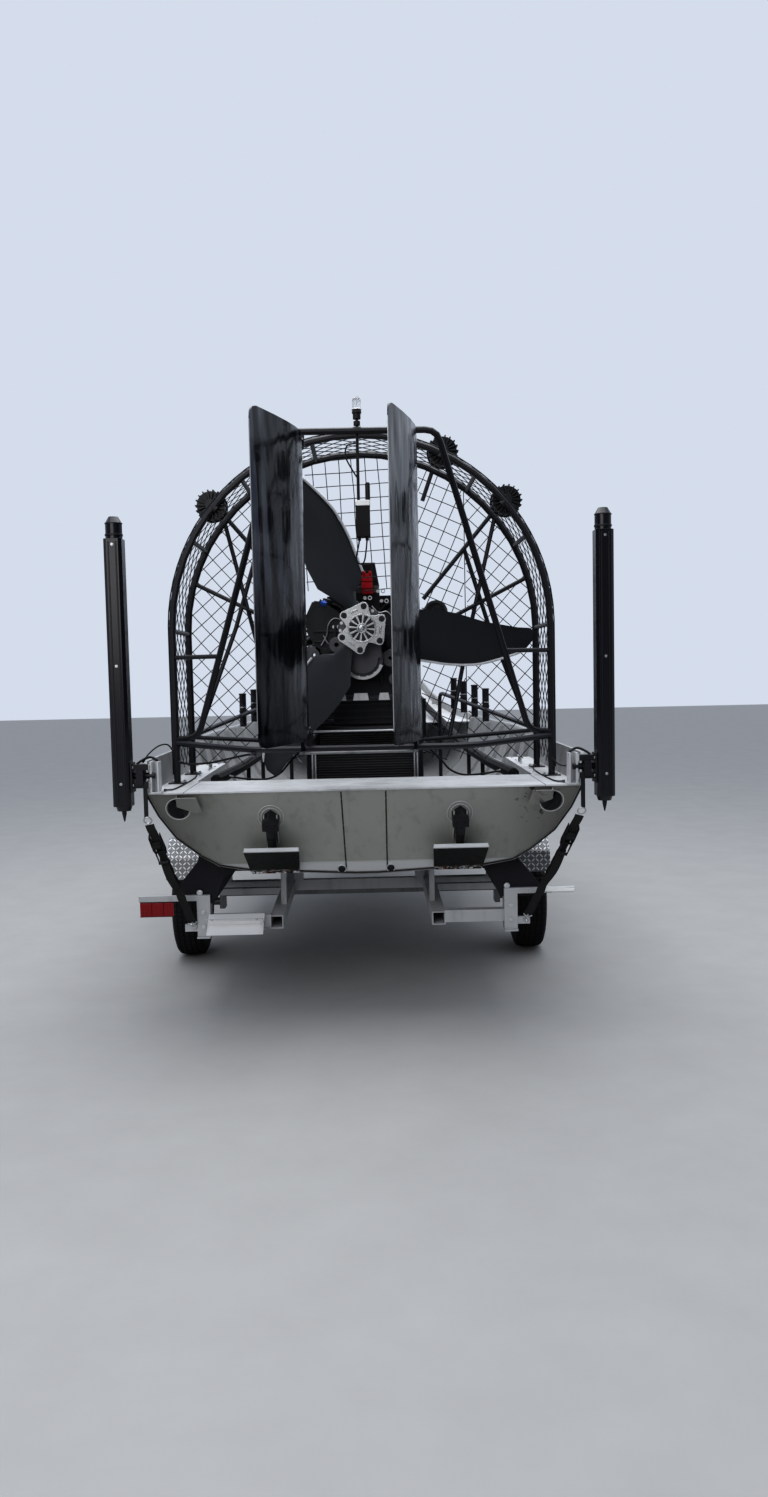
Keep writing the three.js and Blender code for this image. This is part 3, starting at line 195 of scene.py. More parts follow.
class AirboatSizes(bpy.types.PropertyGroup):
    """Sizes of the fittings."""

    net_pitch: length("Net pitch", 0.078, "Side of the net's cells")
    net_wire: length("Net wire", 0.0027, "Radius of the net's wire")
    weld: length("Weld", 0.0042, "Radius of a weld bead")
    bolt: length("Bolt", 0.009, "Half width of a bolt head")
    hose: length("Hose", 0.012, "Diameter of a hydraulic hose")
    cable: length("Cable", 0.008, "Diameter of an electric cable")
    rib_pitch: length("Rib pitch", 0.42, "Distance between the hull's ribs")
    tread_depth: length("Tread depth", 0.007, "Depth of the tyre's grooves")
    seat_voxel: length("Seat voxel", 0.006, "Grain of the seats' remeshed cushions")
    seat_swell: length("Seat swell", 0.014, "Most that a cushion may swell")
    lamp_fins: IntProperty(
        name="Lamp fins", description="Fins round each spotlight", min=8, default=18
    )
    lugs: IntProperty(name="Tyre lugs", description="Lugs round each tyre", min=12, default=60)


# Node helpers


def add(tree, kind, inputs=(), **settings):
    """A shader node with its settings. An input is a value, or a socket to link from."""
    made = tree.nodes.new(kind)
    for key, value in settings.items():
        setattr(made, key, value)
    for key, value in dict(inputs).items():
        if isinstance(value, bpy.types.NodeSocket):
            tree.links.new(value, made.inputs[key])
        else:
            made.inputs[key].default_value = value
    return made


def calc(tree, operation, a, b=0.0, clamp=False):
    """The result of a Math node."""
    return add(tree, "ShaderNodeMath", {0: a, 1: b}, operation=operation, use_clamp=clamp).outputs[0]


def times(tree, *factors, clamp=False):
    """The product of all the factors."""
    product = factors[0]
    for factor in factors[1:]:
        product = calc(tree, "MULTIPLY", product, factor, clamp)
    return product


def ramp(tree, value, low, high):
    """value stretched so that low becomes 0 and high becomes 1, smoothly."""
    inputs = {"Value": value, "From Min": low, "From Max": high}
    return add(tree, "ShaderNodeMapRange", inputs, interpolation_type="SMOOTHSTEP").outputs["Result"]


def mix(tree, share, a, b):
    """Colour a turned into colour b by a share."""
    made = add(tree, "ShaderNodeMix", {0: share, 6: a, 7: b}, data_type="RGBA")
    return made.outputs[2]


def place(tree, scale=(1, 1, 1)):
    """Coordinates on the piece, stretched."""
    coordinates = tree.nodes.new("ShaderNodeTexCoord").outputs["Object"]
    return add(tree, "ShaderNodeMapping", {"Vector": coordinates, "Scale": scale}).outputs["Vector"]


def split(tree, vector):
    """The three coordinates of a vector."""
    return add(tree, "ShaderNodeSeparateXYZ", {"Vector": vector}).outputs


def mottle(tree, vector, scale, detail=4.0, roughness=0.6):
    """Noise from 0 to 1."""
    inputs = {"Vector": vector, "Scale": scale, "Detail": detail, "Roughness": roughness}
    return add(tree, "ShaderNodeTexNoise", inputs).outputs["Fac"]


def patches(tree, scale, detail, low, high, stretch=(1, 1, 1), roughness=0.6):
    """Islands of noise: 0 between them and 1 inside, or the other way round where high is below low."""
    return ramp(tree, mottle(tree, place(tree, stretch), scale, detail, roughness), low, high)


def effect(name, wiring, inputs, outputs):
    """A node group, from its wiring, its inputs with their defaults and the names of its outputs."""
    tree = bpy.data.node_groups.new(name, "ShaderNodeTree")
    for label, default in inputs.items():
        kind = "NodeSocketColor" if default is GREY else "NodeSocketFloat"
        socket = tree.interface.new_socket(name=label, in_out="INPUT", socket_type=kind)
        socket.default_value = default
    for label in outputs:
        kind = "NodeSocketColor" if label == "Colour" else "NodeSocketFloat"
        tree.interface.new_socket(name=label, in_out="OUTPUT", socket_type=kind)
    given = tree.nodes.new("NodeGroupInput").outputs
    results = tree.nodes.new("NodeGroupOutput").inputs
    for label, socket in wiring(tree, given).items():
        tree.links.new(socket, results[label])


def weathered_sheet(tree, given):
    """Brushed grain, blotches of stain and streaks that run down."""
    grain = mottle(tree, place(tree, (4, 90, 90)), given["Grain Scale"], 2.0)
    fine = mottle(tree, place(tree), 38.0, 5.0)
    stain = times(tree, patches(tree, given["Stain Scale"], 6.0, 0.52, 0.78), given["Stains"])
    streak = times(tree, patches(tree, 1.6, 4.0, 0.50, 0.72, (9, 9, 0.7)), given["Streaks"])
    share = times(tree, calc(tree, "ADD", stain, streak), fine, clamp=True)
    painted = mix(tree, share, given["Colour"], given["Stain Colour"])
    tone = times(tree, calc(tree, "SUBTRACT", mottle(tree, place(tree), 2.2), 0.5), given["Tone"])
    lit = add(tree, "ShaderNodeHueSaturation", {"Color": painted, "Value": calc(tree, "ADD", 1.0, tone)})
    spread = times(tree, calc(tree, "SUBTRACT", fine, 0.5), given["Roughness Spread"])
    rough = calc(tree, "ADD", calc(tree, "ADD", given["Roughness"], spread), share, clamp=True)
    return {"Colour": lit.outputs["Color"], "Roughness": rough, "Height": grain}


def chipped_paint(tree, given):
    """Small chips and scuffs where the finish has come off."""
    chips = patches(tree, given["Chip Scale"], 8.0, 0.62, 0.68, roughness=0.7)
    areas = patches(tree, 2.6, 3.0, 0.48, 0.64)
    mask = times(tree, chips, areas, given["Amount"], clamp=True)
    return {"Colour": mix(tree, mask, given["Colour"], given["Worn Colour"]), "Mask": mask}


def settled_dust(tree, given):
    """Dust that lies on faces turned upwards."""
    normal = tree.nodes.new("ShaderNodeNewGeometry").outputs["Normal"]
    flat = ramp(tree, split(tree, normal)["Z"], 0.45, 0.95)
    drift = patches(tree, 7.0, 7.0, 0.35, 0.70)
    mask = times(tree, flat, drift, given["Amount"], clamp=True)
    return {"Colour": mix(tree, mask, given["Colour"], given["Dust Colour"]), "Mask": mask}


def woven_threads(tree, given):
    """Warp and weft of a flat webbing."""
    vector = place(tree)
    wave = {"Vector": vector, "Scale": given["Thread Scale"], "Distortion": 0.4}
    warp = add(tree, "ShaderNodeTexWave", wave, bands_direction="X").outputs["Fac"]
    weft = add(tree, "ShaderNodeTexWave", wave, bands_direction="Z").outputs["Fac"]
    return {"Height": times(tree, warp, weft)}


def pebble_grain(tree, given):
    """The closed cells of embossed vinyl, or the tufts of a carpet at a finer scale."""
    cells = {"Vector": place(tree), "Scale": given["Cell Scale"]}
    distance = add(tree, "ShaderNodeTexVoronoi", cells).outputs["Distance"]
    return {"Height": distance, "Crease": ramp(tree, distance, 0.35, 0.75)}


def tread_plate(tree, given):
    """Raised lozenges, turned one way and the other in turn."""
    parts = split(tree, place(tree))
    normal = tree.nodes.new("ShaderNodeNewGeometry").outputs["Normal"]
    level = calc(tree, "GREATER_THAN", calc(tree, "ABSOLUTE", split(tree, normal)["Z"]), 0.6)
    standing = times(tree, parts["Z"], calc(tree, "SUBTRACT", 1.0, level))
    lengthwise = calc(tree, "ADD", times(tree, parts["Y"], level), standing)
    across = times(tree, parts["X"], given["Cells"])
    down = times(tree, lengthwise, given["Cells"])
    cell = calc(tree, "ADD", calc(tree, "FLOOR", across), calc(tree, "FLOOR", down))
    odd = calc(tree, "MODULO", calc(tree, "ABSOLUTE", cell), 2.0)
    turn = calc(tree, "SUBTRACT", times(tree, odd, 2.0), 1.0)
    u = calc(tree, "SUBTRACT", calc(tree, "FRACT", across), 0.5)
    v = times(tree, calc(tree, "SUBTRACT", calc(tree, "FRACT", down), 0.5), turn)
    long_way, short_way = (
        calc(tree, "POWER", calc(tree, "ABSOLUTE", calc(tree, "DIVIDE", calc(tree, slant, u, v), size)), 2.0)
        for slant, size in (("ADD", 0.72), ("SUBTRACT", 0.22)))
    lozenge = ramp(tree, calc(tree, "ADD", long_way, short_way), 1.0, 0.7)
    return {"Height": lozenge, "Mask": lozenge}


def ripples(tree, given):
    """Long soft waves of a hand-laid skin, which bend what it mirrors."""
    return {"Height": mottle(tree, place(tree, (1, 1, 0.35)), given["Wave Scale"], 1.5)}


def wavy_painted_reflection(tree, given):
    """A painted reflection: upright bands that wander, strongest at the top and gone at the foot."""
    inputs = {"Vector": place(tree, (1, 1, 0.22)), "Scale": given["Band Scale"], "Distortion": 5.0,
              "Detail": 3.0, "Detail Scale": 2.2, "Detail Roughness": 0.6}
    wave = add(tree, "ShaderNodeTexWave", inputs, bands_direction="Y").outputs["Fac"]
    bands = ramp(tree, wave, 0.30, 0.62)
    fade = ramp(tree, split(tree, place(tree))["Z"], given["Foot"], given["Top"])
    return {"Mask": times(tree, bands, fade, patches(tree, 2.4, 3.0, 0.36, 0.62, (1, 1, 0.5)))}


GREY = (0.5, 0.5, 0.5, 1)  # stands for a colour that each material sets

# Each effect: its wiring, its inputs with their defaults, and its outputs
EFFECTS = {
    "Weathered Sheet": (weathered_sheet, {
        "Colour": GREY, "Stain Colour": GREY, "Stains": 0.4, "Stain Scale": 3.0, "Streaks": 0.3,
        "Tone": 0.3, "Grain Scale": 1.5, "Roughness": 0.5, "Roughness Spread": 0.2,
    }, ("Colour", "Roughness", "Height")),
    "Chipped Paint": (chipped_paint, {
        "Colour": GREY, "Worn Colour": GREY, "Amount": 0.5, "Chip Scale": 42.0,
    }, ("Colour", "Mask")),
    "Settled Dust": (settled_dust, {"Colour": GREY, "Dust Colour": GREY, "Amount": 0.4}, ("Colour", "Mask")),
    "Woven Threads": (woven_threads, {"Thread Scale": 90.0}, ("Height",)),
    "Pebble Grain": (pebble_grain, {"Cell Scale": 400.0}, ("Height", "Crease")),
    "Tread Plate": (tread_plate, {"Cells": 30.0}, ("Height", "Mask")),
    "Laid Ripples": (ripples, {"Wave Scale": 3.0}, ("Height",)),
    "Wavy Haze": (wavy_painted_reflection, {"Band Scale": 2.6, "Top": 2.7, "Foot": 1.8}, ("Mask",)),
}

# Each finish: colour, worn colour, metallic, roughness, coat, stains, streaks, wear, dust, bump
FINISHES = {
    "sheet_aluminium": ("aluminium", "polished", 0.35, 0.46, 0.0, 0.34, 0.40, 0.35, 0.10, 0.10),
    "trailer_aluminium": ("polished", "deck", 0.15, 0.46, 0.0, 0.30, 0.30, 0.30, 0.10, 0.10),
    "transom_plate": ("transom", "polished", 0.15, 0.52, 0.0, 0.28, 0.30, 0.15, 0.00, 0.08),
    "deck_plate": ("deck", "polished", 0.14, 0.46, 0.0, 0.55, 0.25, 0.30, 0.25, 0.10),
    "tread_plate": ("deck", "polished", 0.50, 0.40, 0.0, 0.30, 0.20, 0.30, 0.15, 0.10),
    "polished_aluminium": ("polished", "polished", 0.95, 0.24, 0.0, 0.25, 0.10, 0.00, 0.00, 0.05),
    "black_paint": ("black_paint", "steel", 0.0, 0.34, 0.14, 0.15, 0.10, 0.35, 0.04, 0.03),
    "gloss_black": ("gloss_black", "steel", 0.0, 0.14, 0.16, 0.03, 0.03, 0.10, 0.01, 0.00),
    "rudder_gloss": ("gloss_black", "steel", 0.0, 0.16, 0.15, 0.03, 0.03, 0.08, 0.01, 0.00),
    "blade_black": ("blade", "blade_edge", 0.0, 0.50, 0.04, 0.15, 0.10, 0.00, 0.00, 0.03),
    "blade_edge": ("blade_edge", "polished", 0.40, 0.42, 0.0, 0.15, 0.10, 0.20, 0.00, 0.05),
    "engine_casting": ("engine", "aluminium", 0.40, 0.50, 0.0, 0.60, 0.20, 0.45, 0.05, 0.20),
    "black_plastic": ("rubber", "engine", 0.0, 0.52, 0.10, 0.20, 0.15, 0.20, 0.06, 0.06),
    "cast_metal": ("engine", "aluminium", 0.60, 0.50, 0.0, 0.50, 0.25, 0.50, 0.05, 0.20),
    "galvanised_steel": ("steel", "polished", 0.75, 0.44, 0.0, 0.55, 0.35, 0.30, 0.20, 0.10),
    "bright_metal": ("deck", "deck", 0.90, 0.30, 0.0, 0.35, 0.25, 0.20, 0.05, 0.08),
    "net_wire": ("wire", "steel", 0.50, 0.48, 0.0, 0.35, 0.10, 0.00, 0.00, 0.00),
    "rubber": ("rubber", "engine", 0.0, 0.66, 0.0, 0.25, 0.15, 0.15, 0.05, 0.12),
    "tyre_rubber": ("rubber", "dust", 0.0, 0.80, 0.0, 0.55, 0.10, 0.25, 0.12, 0.25),
    "seat_vinyl": ("vinyl", "engine", 0.0, 0.48, 0.0, 0.20, 0.05, 0.15, 0.10, 0.00),
    "bunk_carpet": ("carpet", "rubber", 0.0, 0.95, 0.0, 0.30, 0.20, 0.00, 0.03, 0.00),
    "webbing": ("webbing", "rubber", 0.0, 0.78, 0.0, 0.35, 0.10, 0.15, 0.04, 0.00),
    "red_lens": ("lens_red", "coil_red", 0.0, 0.20, 0.25, 0.15, 0.10, 0.00, 0.08, 0.00),
    "coil_red": ("coil_red", "engine", 0.0, 0.38, 0.20, 0.25, 0.05, 0.10, 0.05, 0.03),
    "coupling_blue": ("coupling_blue", "polished", 0.60, 0.34, 0.0, 0.15, 0.05, 0.30, 0.05, 0.03),
    "plate_white": ("plate", "polished", 0.10, 0.36, 0.20, 0.14, 0.10, 0.20, 0.04, 0.02),
    "white_paint": ("white_and_highlight", "aluminium", 0.0, 0.40, 0.10, 0.06, 0.06, 0.15, 0.00, 0.02),
    # Black for dark weld and deck seams, and as a painted shadow line along the transom's rim
    "soot_black": ("soot_and_shade", "engine", 0.0, 0.88, 0.0, 0.30, 0.20, 0.00, 0.10, 0.10),
    "trim_tab_plate": ("tab", "aluminium", 0.0, 0.55, 0.0, 0.30, 0.35, 0.30, 0.03, 0.12),
    "bracket_plate": ("deck", "polished", 0.25, 0.42, 0.0, 0.50, 0.35, 0.30, 0.20, 0.10),
    "tank_ribbed": ("rubber", "engine", 0.0, 0.50, 0.10, 0.25, 0.20, 0.10, 0.05, 0.00),
}


def rgba(name):
    """A colour of the user's, with full alpha."""
    return (*getattr(bpy.context.scene.airboat_colours, name), 1)


def group_node(tree, name, inputs):
    """An effect placed in a material with the material's own values."""
    return add(tree, "ShaderNodeGroup", inputs, node_tree=bpy.data.node_groups[name]).outputs


def new_material(name):
    """A material with its node tree and its shader's sockets."""
    material = bpy.data.materials.new(name)
    material.use_nodes = True
    return material, material.node_tree, material.node_tree.nodes["Principled BSDF"].inputs


def make_finish(name, row):
    """A material with weathering, worn edges and dust."""
    base, worn, metallic, roughness, coat, stains, streaks, wear, dust, bump = row
    material, tree, shader = new_material(name)
    shader["Metallic"].default_value = metallic
    shader["Coat Weight"].default_value = coat
    shader["Coat Roughness"].default_value = 0.04
    shader["Specular IOR Level"].default_value = 0.5 if metallic else 0.22
    sheet = group_node(tree, "Weathered Sheet", {
        "Colour": rgba(base), "Stain Colour": rgba("soot_and_shade"), "Stains": stains, "Streaks": streaks,
        "Roughness": roughness, "Roughness Spread": roughness * 0.35,
    })
    worn_paint = group_node(tree, "Chipped Paint", {
        "Colour": sheet["Colour"], "Worn Colour": rgba(worn), "Amount": wear,
    })
    dusty = group_node(tree, "Settled Dust", {
        "Colour": worn_paint["Colour"], "Dust Colour": rgba("dust"), "Amount": dust,
    })
    tree.links.new(dusty["Colour"], shader["Base Color"])
    tree.links.new(sheet["Roughness"], shader["Roughness"])
    raise_surface(tree, sheet["Height"], bump, 0.002)
    return material


def raise_surface(tree, height, strength, distance):
    """Adds a relief on top of what the material's normal has already."""
    normal = tree.nodes["Principled BSDF"].inputs["Normal"]
    inputs = {"Height": height, "Strength": strength, "Distance": distance}
    if normal.links:
        inputs["Normal"] = normal.links[0].from_socket
    tree.links.new(add(tree, "ShaderNodeBump", inputs).outputs["Normal"], normal)


def recolour(tree, tint, *masks):
    """Paints a colour of the user's where all the masks are 1, over the colour that is there already."""
    base = tree.nodes["Principled BSDF"].inputs["Base Color"]
    tree.links.new(mix(tree, times(tree, *masks), base.links[0].from_socket, rgba(tint)), base)


def axis(tree, name):
    """One coordinate on the piece."""
    return split(tree, place(tree))[name]


def from_middle(tree, name):
    """The distance from the piece's middle plane."""
    return calc(tree, "ABSOLUTE", axis(tree, name))


def finish_transom(tree):
    """The band along the keel is paler, scorch and red primer mark the upper corner, and painted shade
    darkens the plate towards its outer edges.
    """
    recolour(tree, "deck", ramp(tree, axis(tree, "Z"), 0.842, 0.832), 0.85)
    high = ramp(tree, axis(tree, "Z"), 1.02, 1.09)
    beside = ramp(tree, axis(tree, "X"), 0.74, 0.80)
    corner = times(tree, high, beside, ramp(tree, axis(tree, "X"), 0.96, 0.90))
    recolour(tree, "soot_and_shade", corner, patches(tree, 26.0, 3.0, 0.60, 0.66))
    recolour(tree, "rust", corner, patches(tree, 31.0, 2.0, 0.64, 0.70, (1, 1, 1.3)), 0.5)
    # Painted shade: the plate is darkened towards its outer edges, where shade falls
    recolour(tree, "soot_and_shade", ramp(tree, from_middle(tree, "X"), 0.50, 1.05), 0.55)


def finish_trailer(tree):
    """The trailer's lamp bar is pale at its bare end, where its lamp is missing, partly as a painted
    highlight of its top lit by the sky.
    """
    end = ramp(tree, axis(tree, "X"), 1.004, 1.008)
    high = ramp(tree, axis(tree, "Z"), 0.600, 0.612)
    low = ramp(tree, axis(tree, "Z"), 0.700, 0.690)
    # Partly painted highlight: the bar's end is made pale for its top lit by the sky
    recolour(tree, "plate", end, high, low, ramp(tree, axis(tree, "Y"), -2.35, -2.40))


def finish_deck(tree):
    """A grey smear where the middle of the stern deck is walked on."""
    centre = ramp(tree, from_middle(tree, "X"), 0.55, 0.0)
    recolour(tree, "steel", centre, patches(tree, 3.0, 6.0, 0.45, 0.62, (2, 14, 1)), 0.45)


def finish_tread(tree):
    """Lozenges stand up bright from a duller sheet."""
    plate = group_node(tree, "Tread Plate", {"Cells": 38.0})
    raise_surface(tree, plate["Height"], 0.8, 0.0025)
    recolour(tree, "engine", calc(tree, "SUBTRACT", 1.0, plate["Mask"]), 0.80)


def finish_rudder(tree):
    """A hand-laid gloss skin, with a painted reflection of the sky in wavy upright streaks towards its top.
    """
    tree.nodes["Principled BSDF"].inputs["Specular IOR Level"].default_value = 0.12
    raise_surface(tree, group_node(tree, "Laid Ripples", {"Wave Scale": 6.5})["Height"], 0.8, 0.020)
    painted_reflection = group_node(tree, "Wavy Haze", {"Band Scale": 2.6, "Top": 2.45, "Foot": 1.95})["Mask"]
    # Painted reflection: pale wavy streaks stand in for the sky mirrored in the gloss
    recolour(tree, "painted_reflection", painted_reflection, 0.85)


def finish_column(tree):
    """Deep black paint with little shine of its own under its clear coat."""
    tree.nodes["Principled BSDF"].inputs["Specular IOR Level"].default_value = 0.08


def finish_vinyl(tree):
    """The fine grain of embossed vinyl."""
    raise_surface(tree, group_node(tree, "Pebble Grain", {"Cell Scale": 420.0})["Height"], 0.35, 0.001)


def finish_carpet(tree):
    """Short tufts with dark gaps and a soft sheen."""
    tufts = group_node(tree, "Pebble Grain", {"Cell Scale": 260.0})
    raise_surface(tree, tufts["Height"], 0.9, 0.003)
    recolour(tree, "rubber", tufts["Crease"], 0.4)
    tree.nodes["Principled BSDF"].inputs["Sheen Weight"].default_value = 0.25


def finish_webbing(tree):
    """The weave of the straps."""
    raise_surface(tree, group_node(tree, "Woven Threads", {"Thread Scale": 60.0})["Height"], 0.8, 0.0015)


def finish_tank(tree):
    """Close level ribs moulded into the tank's sides."""
    ribs = calc(tree, "SINE", times(tree, axis(tree, "Z"), 420.0))
    raise_surface(tree, ribs, 0.9, 0.003)
    recolour(tree, "steel", ramp(tree, ribs, 0.2, 0.9), 0.22)


def finish_tab(tree):
    """The raised lip is painted pale as a highlight where it catches the light, and the hinge edge has lost
    its paint.
    """
    rise = math.radians(33.5)
    slope = Vector((0, -math.cos(rise), math.sin(rise)))
    inputs = {0: place(tree), 1: slope}
    along = add(tree, "ShaderNodeVectorMath", inputs, operation="DOT_PRODUCT").outputs["Value"]
    hinge = boat(0, 0.2603, 0.785).dot(slope)
    # Painted highlight: a pale band along the bent lip at the free edge, where it faces the sky
    recolour(tree, "deck", ramp(tree, along, hinge + 0.262, hinge + 0.266))
    chips = patches(tree, 48.0, 4.0, 0.50, 0.56)
    recolour(tree, "deck", ramp(tree, along, hinge + 0.045, hinge + 0.012), chips)
    rust = patches(tree, 30.0, 4.0, 0.52, 0.60)
    recolour(tree, "rust", ramp(tree, along, hinge + 0.07, hinge + 0.015), rust, 0.8)


def finish_bracket(tree):
    """The arms that carry the column are painted black beyond the bare channel."""
    recolour(tree, "black_paint", ramp(tree, from_middle(tree, "X"), 1.0850, 1.0862))


def finish_tyre(tree):
    """The fine grain of worn rubber."""
    raise_surface(tree, mottle(tree, place(tree), 160.0), 0.3, 0.002)


EXTRAS = {
    "trailer_aluminium": finish_trailer, "transom_plate": finish_transom, "deck_plate": finish_deck,
    "tread_plate": finish_tread, "gloss_black": finish_column, "rudder_gloss": finish_rudder,
    "seat_vinyl": finish_vinyl, "bunk_carpet": finish_carpet, "webbing": finish_webbing,
    "tank_ribbed": finish_tank, "trim_tab_plate": finish_tab, "bracket_plate": finish_bracket,
    "tyre_rubber": finish_tyre,
}


def pair(name):
    """The names of a port piece and its starboard twin."""
    return f"{name}_left", f"{name}_right"


# The finish of each node that shows as it was packed
NODE_FINISHES = {
    "sheet_aluminium": ("hull_shell", "cockpit_floor", "seat_stand"),
    "trailer_aluminium": ("trailer_frame",),
    "transom_plate": ("transom",),
    "deck_plate": ("stern_deck", *pair("side_deck"), "foredeck"),
    "bracket_plate": pair("anchor_bracket"),
    "tread_plate": pair("fender"),
    "black_paint": (
        "cage_rear_hoop", "cage_front_frame", "rudder_frame", *pair("side_rail"), *pair("tab_cylinder"),
        *pair("exhaust"), "engine_stand", *pair("anchor_spike"),
    ),
    "rudder_gloss": pair("rudder"),
    "gloss_black": pair("anchor_column"),
    "blade_black": ("propeller",),
    "tank_ribbed": ("fuel_tank", "radiator"),
    "black_plastic": ("engine_intake",),
    "engine_casting": ("engine_block",),
    "cast_metal": ("reduction_drive",),
    "trim_tab_plate": pair("trim_tab"),
    "galvanised_steel": ("rudder_tie_rod", "rudder_stick", "axle", "winch_post", "jack_leg"),
    "bright_metal": pair("tab_rod"),
    "bunk_carpet": pair("bunk"),
    "rubber": ("coaming",),
    "plate_white": ("number_plate",),
}
SOFT_EDGE = 0.0015
ROUND_ANGLE = math.radians(33)


# Mesh helpers


def circle(centre, radius, u, v, sides):
    """Points on a circle in the plane of two directions."""
    steps = (2 * math.pi * i / sides for i in range(sides))
    return [centre + radius * (math.cos(t) * u + math.sin(t) * v) for t in steps]


def ring(centre, along, radius, sides):
    """Points on a circle about a line."""
    w = Vector(along).normalized()
    u = w.orthogonal().normalized()
    return circle(centre, radius, u, w.cross(u), sides)


class Shape:
    """A mesh being put together from plain forms, in the frame's coordinates."""

    def __init__(self):
        self.mesh = bmesh.new()
        self.finish = 0

    def skin(self, rings, caps=True, loop=False):
        """A surface through rings of equal count."""
        rows = [[self.mesh.verts.new(p) for p in points] for points in rings]
        pairs = list(zip(rows, rows[1:]))
        if loop:
            pairs.append((rows[-1], rows[0]))
        for near, far in pairs:
            for i in range(len(near)):
                j = (i + 1) % len(near)
                self.face((near[i], near[j], far[j], far[i]))
        if caps and not loop:
            self.face(list(reversed(rows[0])))
            self.face(rows[-1])

    def face(self, corners):
        self.mesh.faces.new(corners).material_index = self.finish

    def box(self, low, high, turn=None, about=None):
        """A block between two corners, turned about a point if asked."""
        (x0, y0, z0), (x1, y1, z1) = low, high
        rings = [[Vector(p) for p in ((x0, y0, z), (x1, y0, z), (x1, y1, z), (x0, y1, z))]
                 for z in (z0, z1)]
        if turn is not None:
            rings = [[about + turn @ (p - about) for p in points] for points in rings]
        self.skin(rings)

    def block(self, x, half, y0, y1, z0, z1):
        """A block with its middle at x, from y0 to y1 ahead of the transom's top edge."""
        self.box(boat(x - half, y0, z0), boat(x + half, y1, z1))

    def rod(self, start, end, radius, sides=12, end_radius=None):
        """A round or, with six sides, a hexagon bar."""
        start, end = Vector(start), Vector(end)
        far = radius if end_radius is None else end_radius
        self.skin([ring(start, end - start, radius, sides), ring(end, end - start, far, sides)])

    def tube(self, points, radius, sides=10, loop=False):
        """A tube along points. radius is a number or one for each point."""
        points = [Vector(p) for p in points]
        count = len(points)
        radii = [radius] * count if isinstance(radius, (int, float)) else radius
        rings, side = [], None
        for i, point in enumerate(points):
            before = points[i - 1] if i or loop else point
            after = points[(i + 1) % count] if i < count - 1 or loop else point
            along = (after - before).normalized()
            side = along.orthogonal() if side is None else side - side.dot(along) * along
            side.normalize()
            rings.append(circle(point, radii[i], side, along.cross(side), sides))
        self.skin(rings, loop=loop)

    def lathe(self, profile, centre, along, sides=24):
        """A closed profile of (radius, distance along) turned about a line."""
        w = Vector(along).normalized()
        self.skin([ring(centre + w * step, w, radius, sides) for radius, step in profile], loop=True)

    def collar(self, centre, along, inner, outer, high, sides=24):
        """A ring of square section that stands on a point."""
        self.lathe([(inner, 0), (outer, 0), (outer, high), (inner, high)], centre, along, sides)

    def prism(self, outline, depth):
        """An outline of points pushed along a vector."""
        self.skin([[Vector(p) for p in outline], [Vector(p) + Vector(depth) for p in outline]])

    def bolt(self, point, out, size):
        """A hexagon head on its washer."""
        point, out = Vector(point), Vector(out).normalized()
        self.rod(point - out * size * 0.3, point + out * size * 0.2, size * 1.35, 16)
        self.rod(point + out * size * 0.2, point + out * size * 0.8, size, 6, size * 0.92)

    def bead(self, start, end, radius, out):
        """A weld bead with its ripples, half sunk in the plate."""
        steps = max(2, int((end - start).length / 0.007))
        points = [start.lerp(end, i / steps) + out * radius * 0.15 for i in range(steps + 1)]
        self.tube(points, [radius * (1.0 if i % 2 else 0.74) for i in range(steps + 1)], 8)


def build(shape, name, finishes, body=HULL, replaces=(), soft_edge=0.0, smooth=38.0):
    """The finished piece: smooth where it is round, riding on its body."""
    bmesh.ops.recalc_face_normals(shape.mesh, faces=shape.mesh.faces)
    data = bpy.data.meshes.new(name)
    shape.mesh.to_mesh(data)
    shape.mesh.free()
    data.shade_smooth()
    data.set_sharp_from_angle(angle=math.radians(smooth))
    for finish in finishes:
        data.materials.append(bpy.data.materials[finish])
    made = bpy.data.objects.new(name, data)
    bpy.context.scene.collection.objects.link(made)
    if soft_edge:
        soften(made, soft_edge, 2, math.radians(40))
    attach(made, body)
    if replaces:
        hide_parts(*replaces)
    return made


def soften(made, width, segments, angle):
    """Rounds the edges that are sharper than an angle."""
    bevel = made.modifiers.new("Soft edge", "BEVEL")
    bevel.width, bevel.segments, bevel.limit_method, bevel.angle_limit = width, segments, "ANGLE", angle
    return bevel


def smooth_route(corners, count):
    """A soft curve through the corners, with its points evenly apart."""
    corners = [Vector(c) for c in corners]
    ends = [2 * corners[0] - corners[1], *corners, 2 * corners[-1] - corners[-2]]
    fine = []
    for a, b, c, d in zip(ends, ends[1:], ends[2:], ends[3:]):
        for i in range(40):
            t = i / 40
            fine.append(0.5 * (2 * b + (c - a) * t + (2 * a - 5 * b + 4 * c - d) * t**2
                               + (3 * b - a - 3 * c + d) * t**3))
    fine.append(corners[-1])
    reach = [0.0]
    for a, b in zip(fine, fine[1:]):
        reach.append(reach[-1] + (b - a).length)
    route, k = [], 0
    for i in range(count):
        target = reach[-1] * i / (count - 1)
        while k < len(fine) - 2 and reach[k + 1] < target:
            k += 1
        span = max(reach[k + 1] - reach[k], 1e-9)
        route.append(fine[k].lerp(fine[k + 1], min(1.0, (target - reach[k]) / span)))
    return route


def ferrules(name, route, diameter):
    """A crimped collar with a hexagon nut at each end of a hose."""
    shape = Shape()
    for end, inner in ((route[0], route[1]), (route[-1], route[-2])):
        along = (inner - end).normalized()
        shape.rod(end - along * diameter * 0.6, end + along * diameter * 1.9, diameter * 0.68, 14)
        shape.rod(end - along * diameter * 0.9, end + along * diameter * 0.5, diameter * 0.92, 6)
    build(shape, f"{name}_ends", ["cast_metal"])


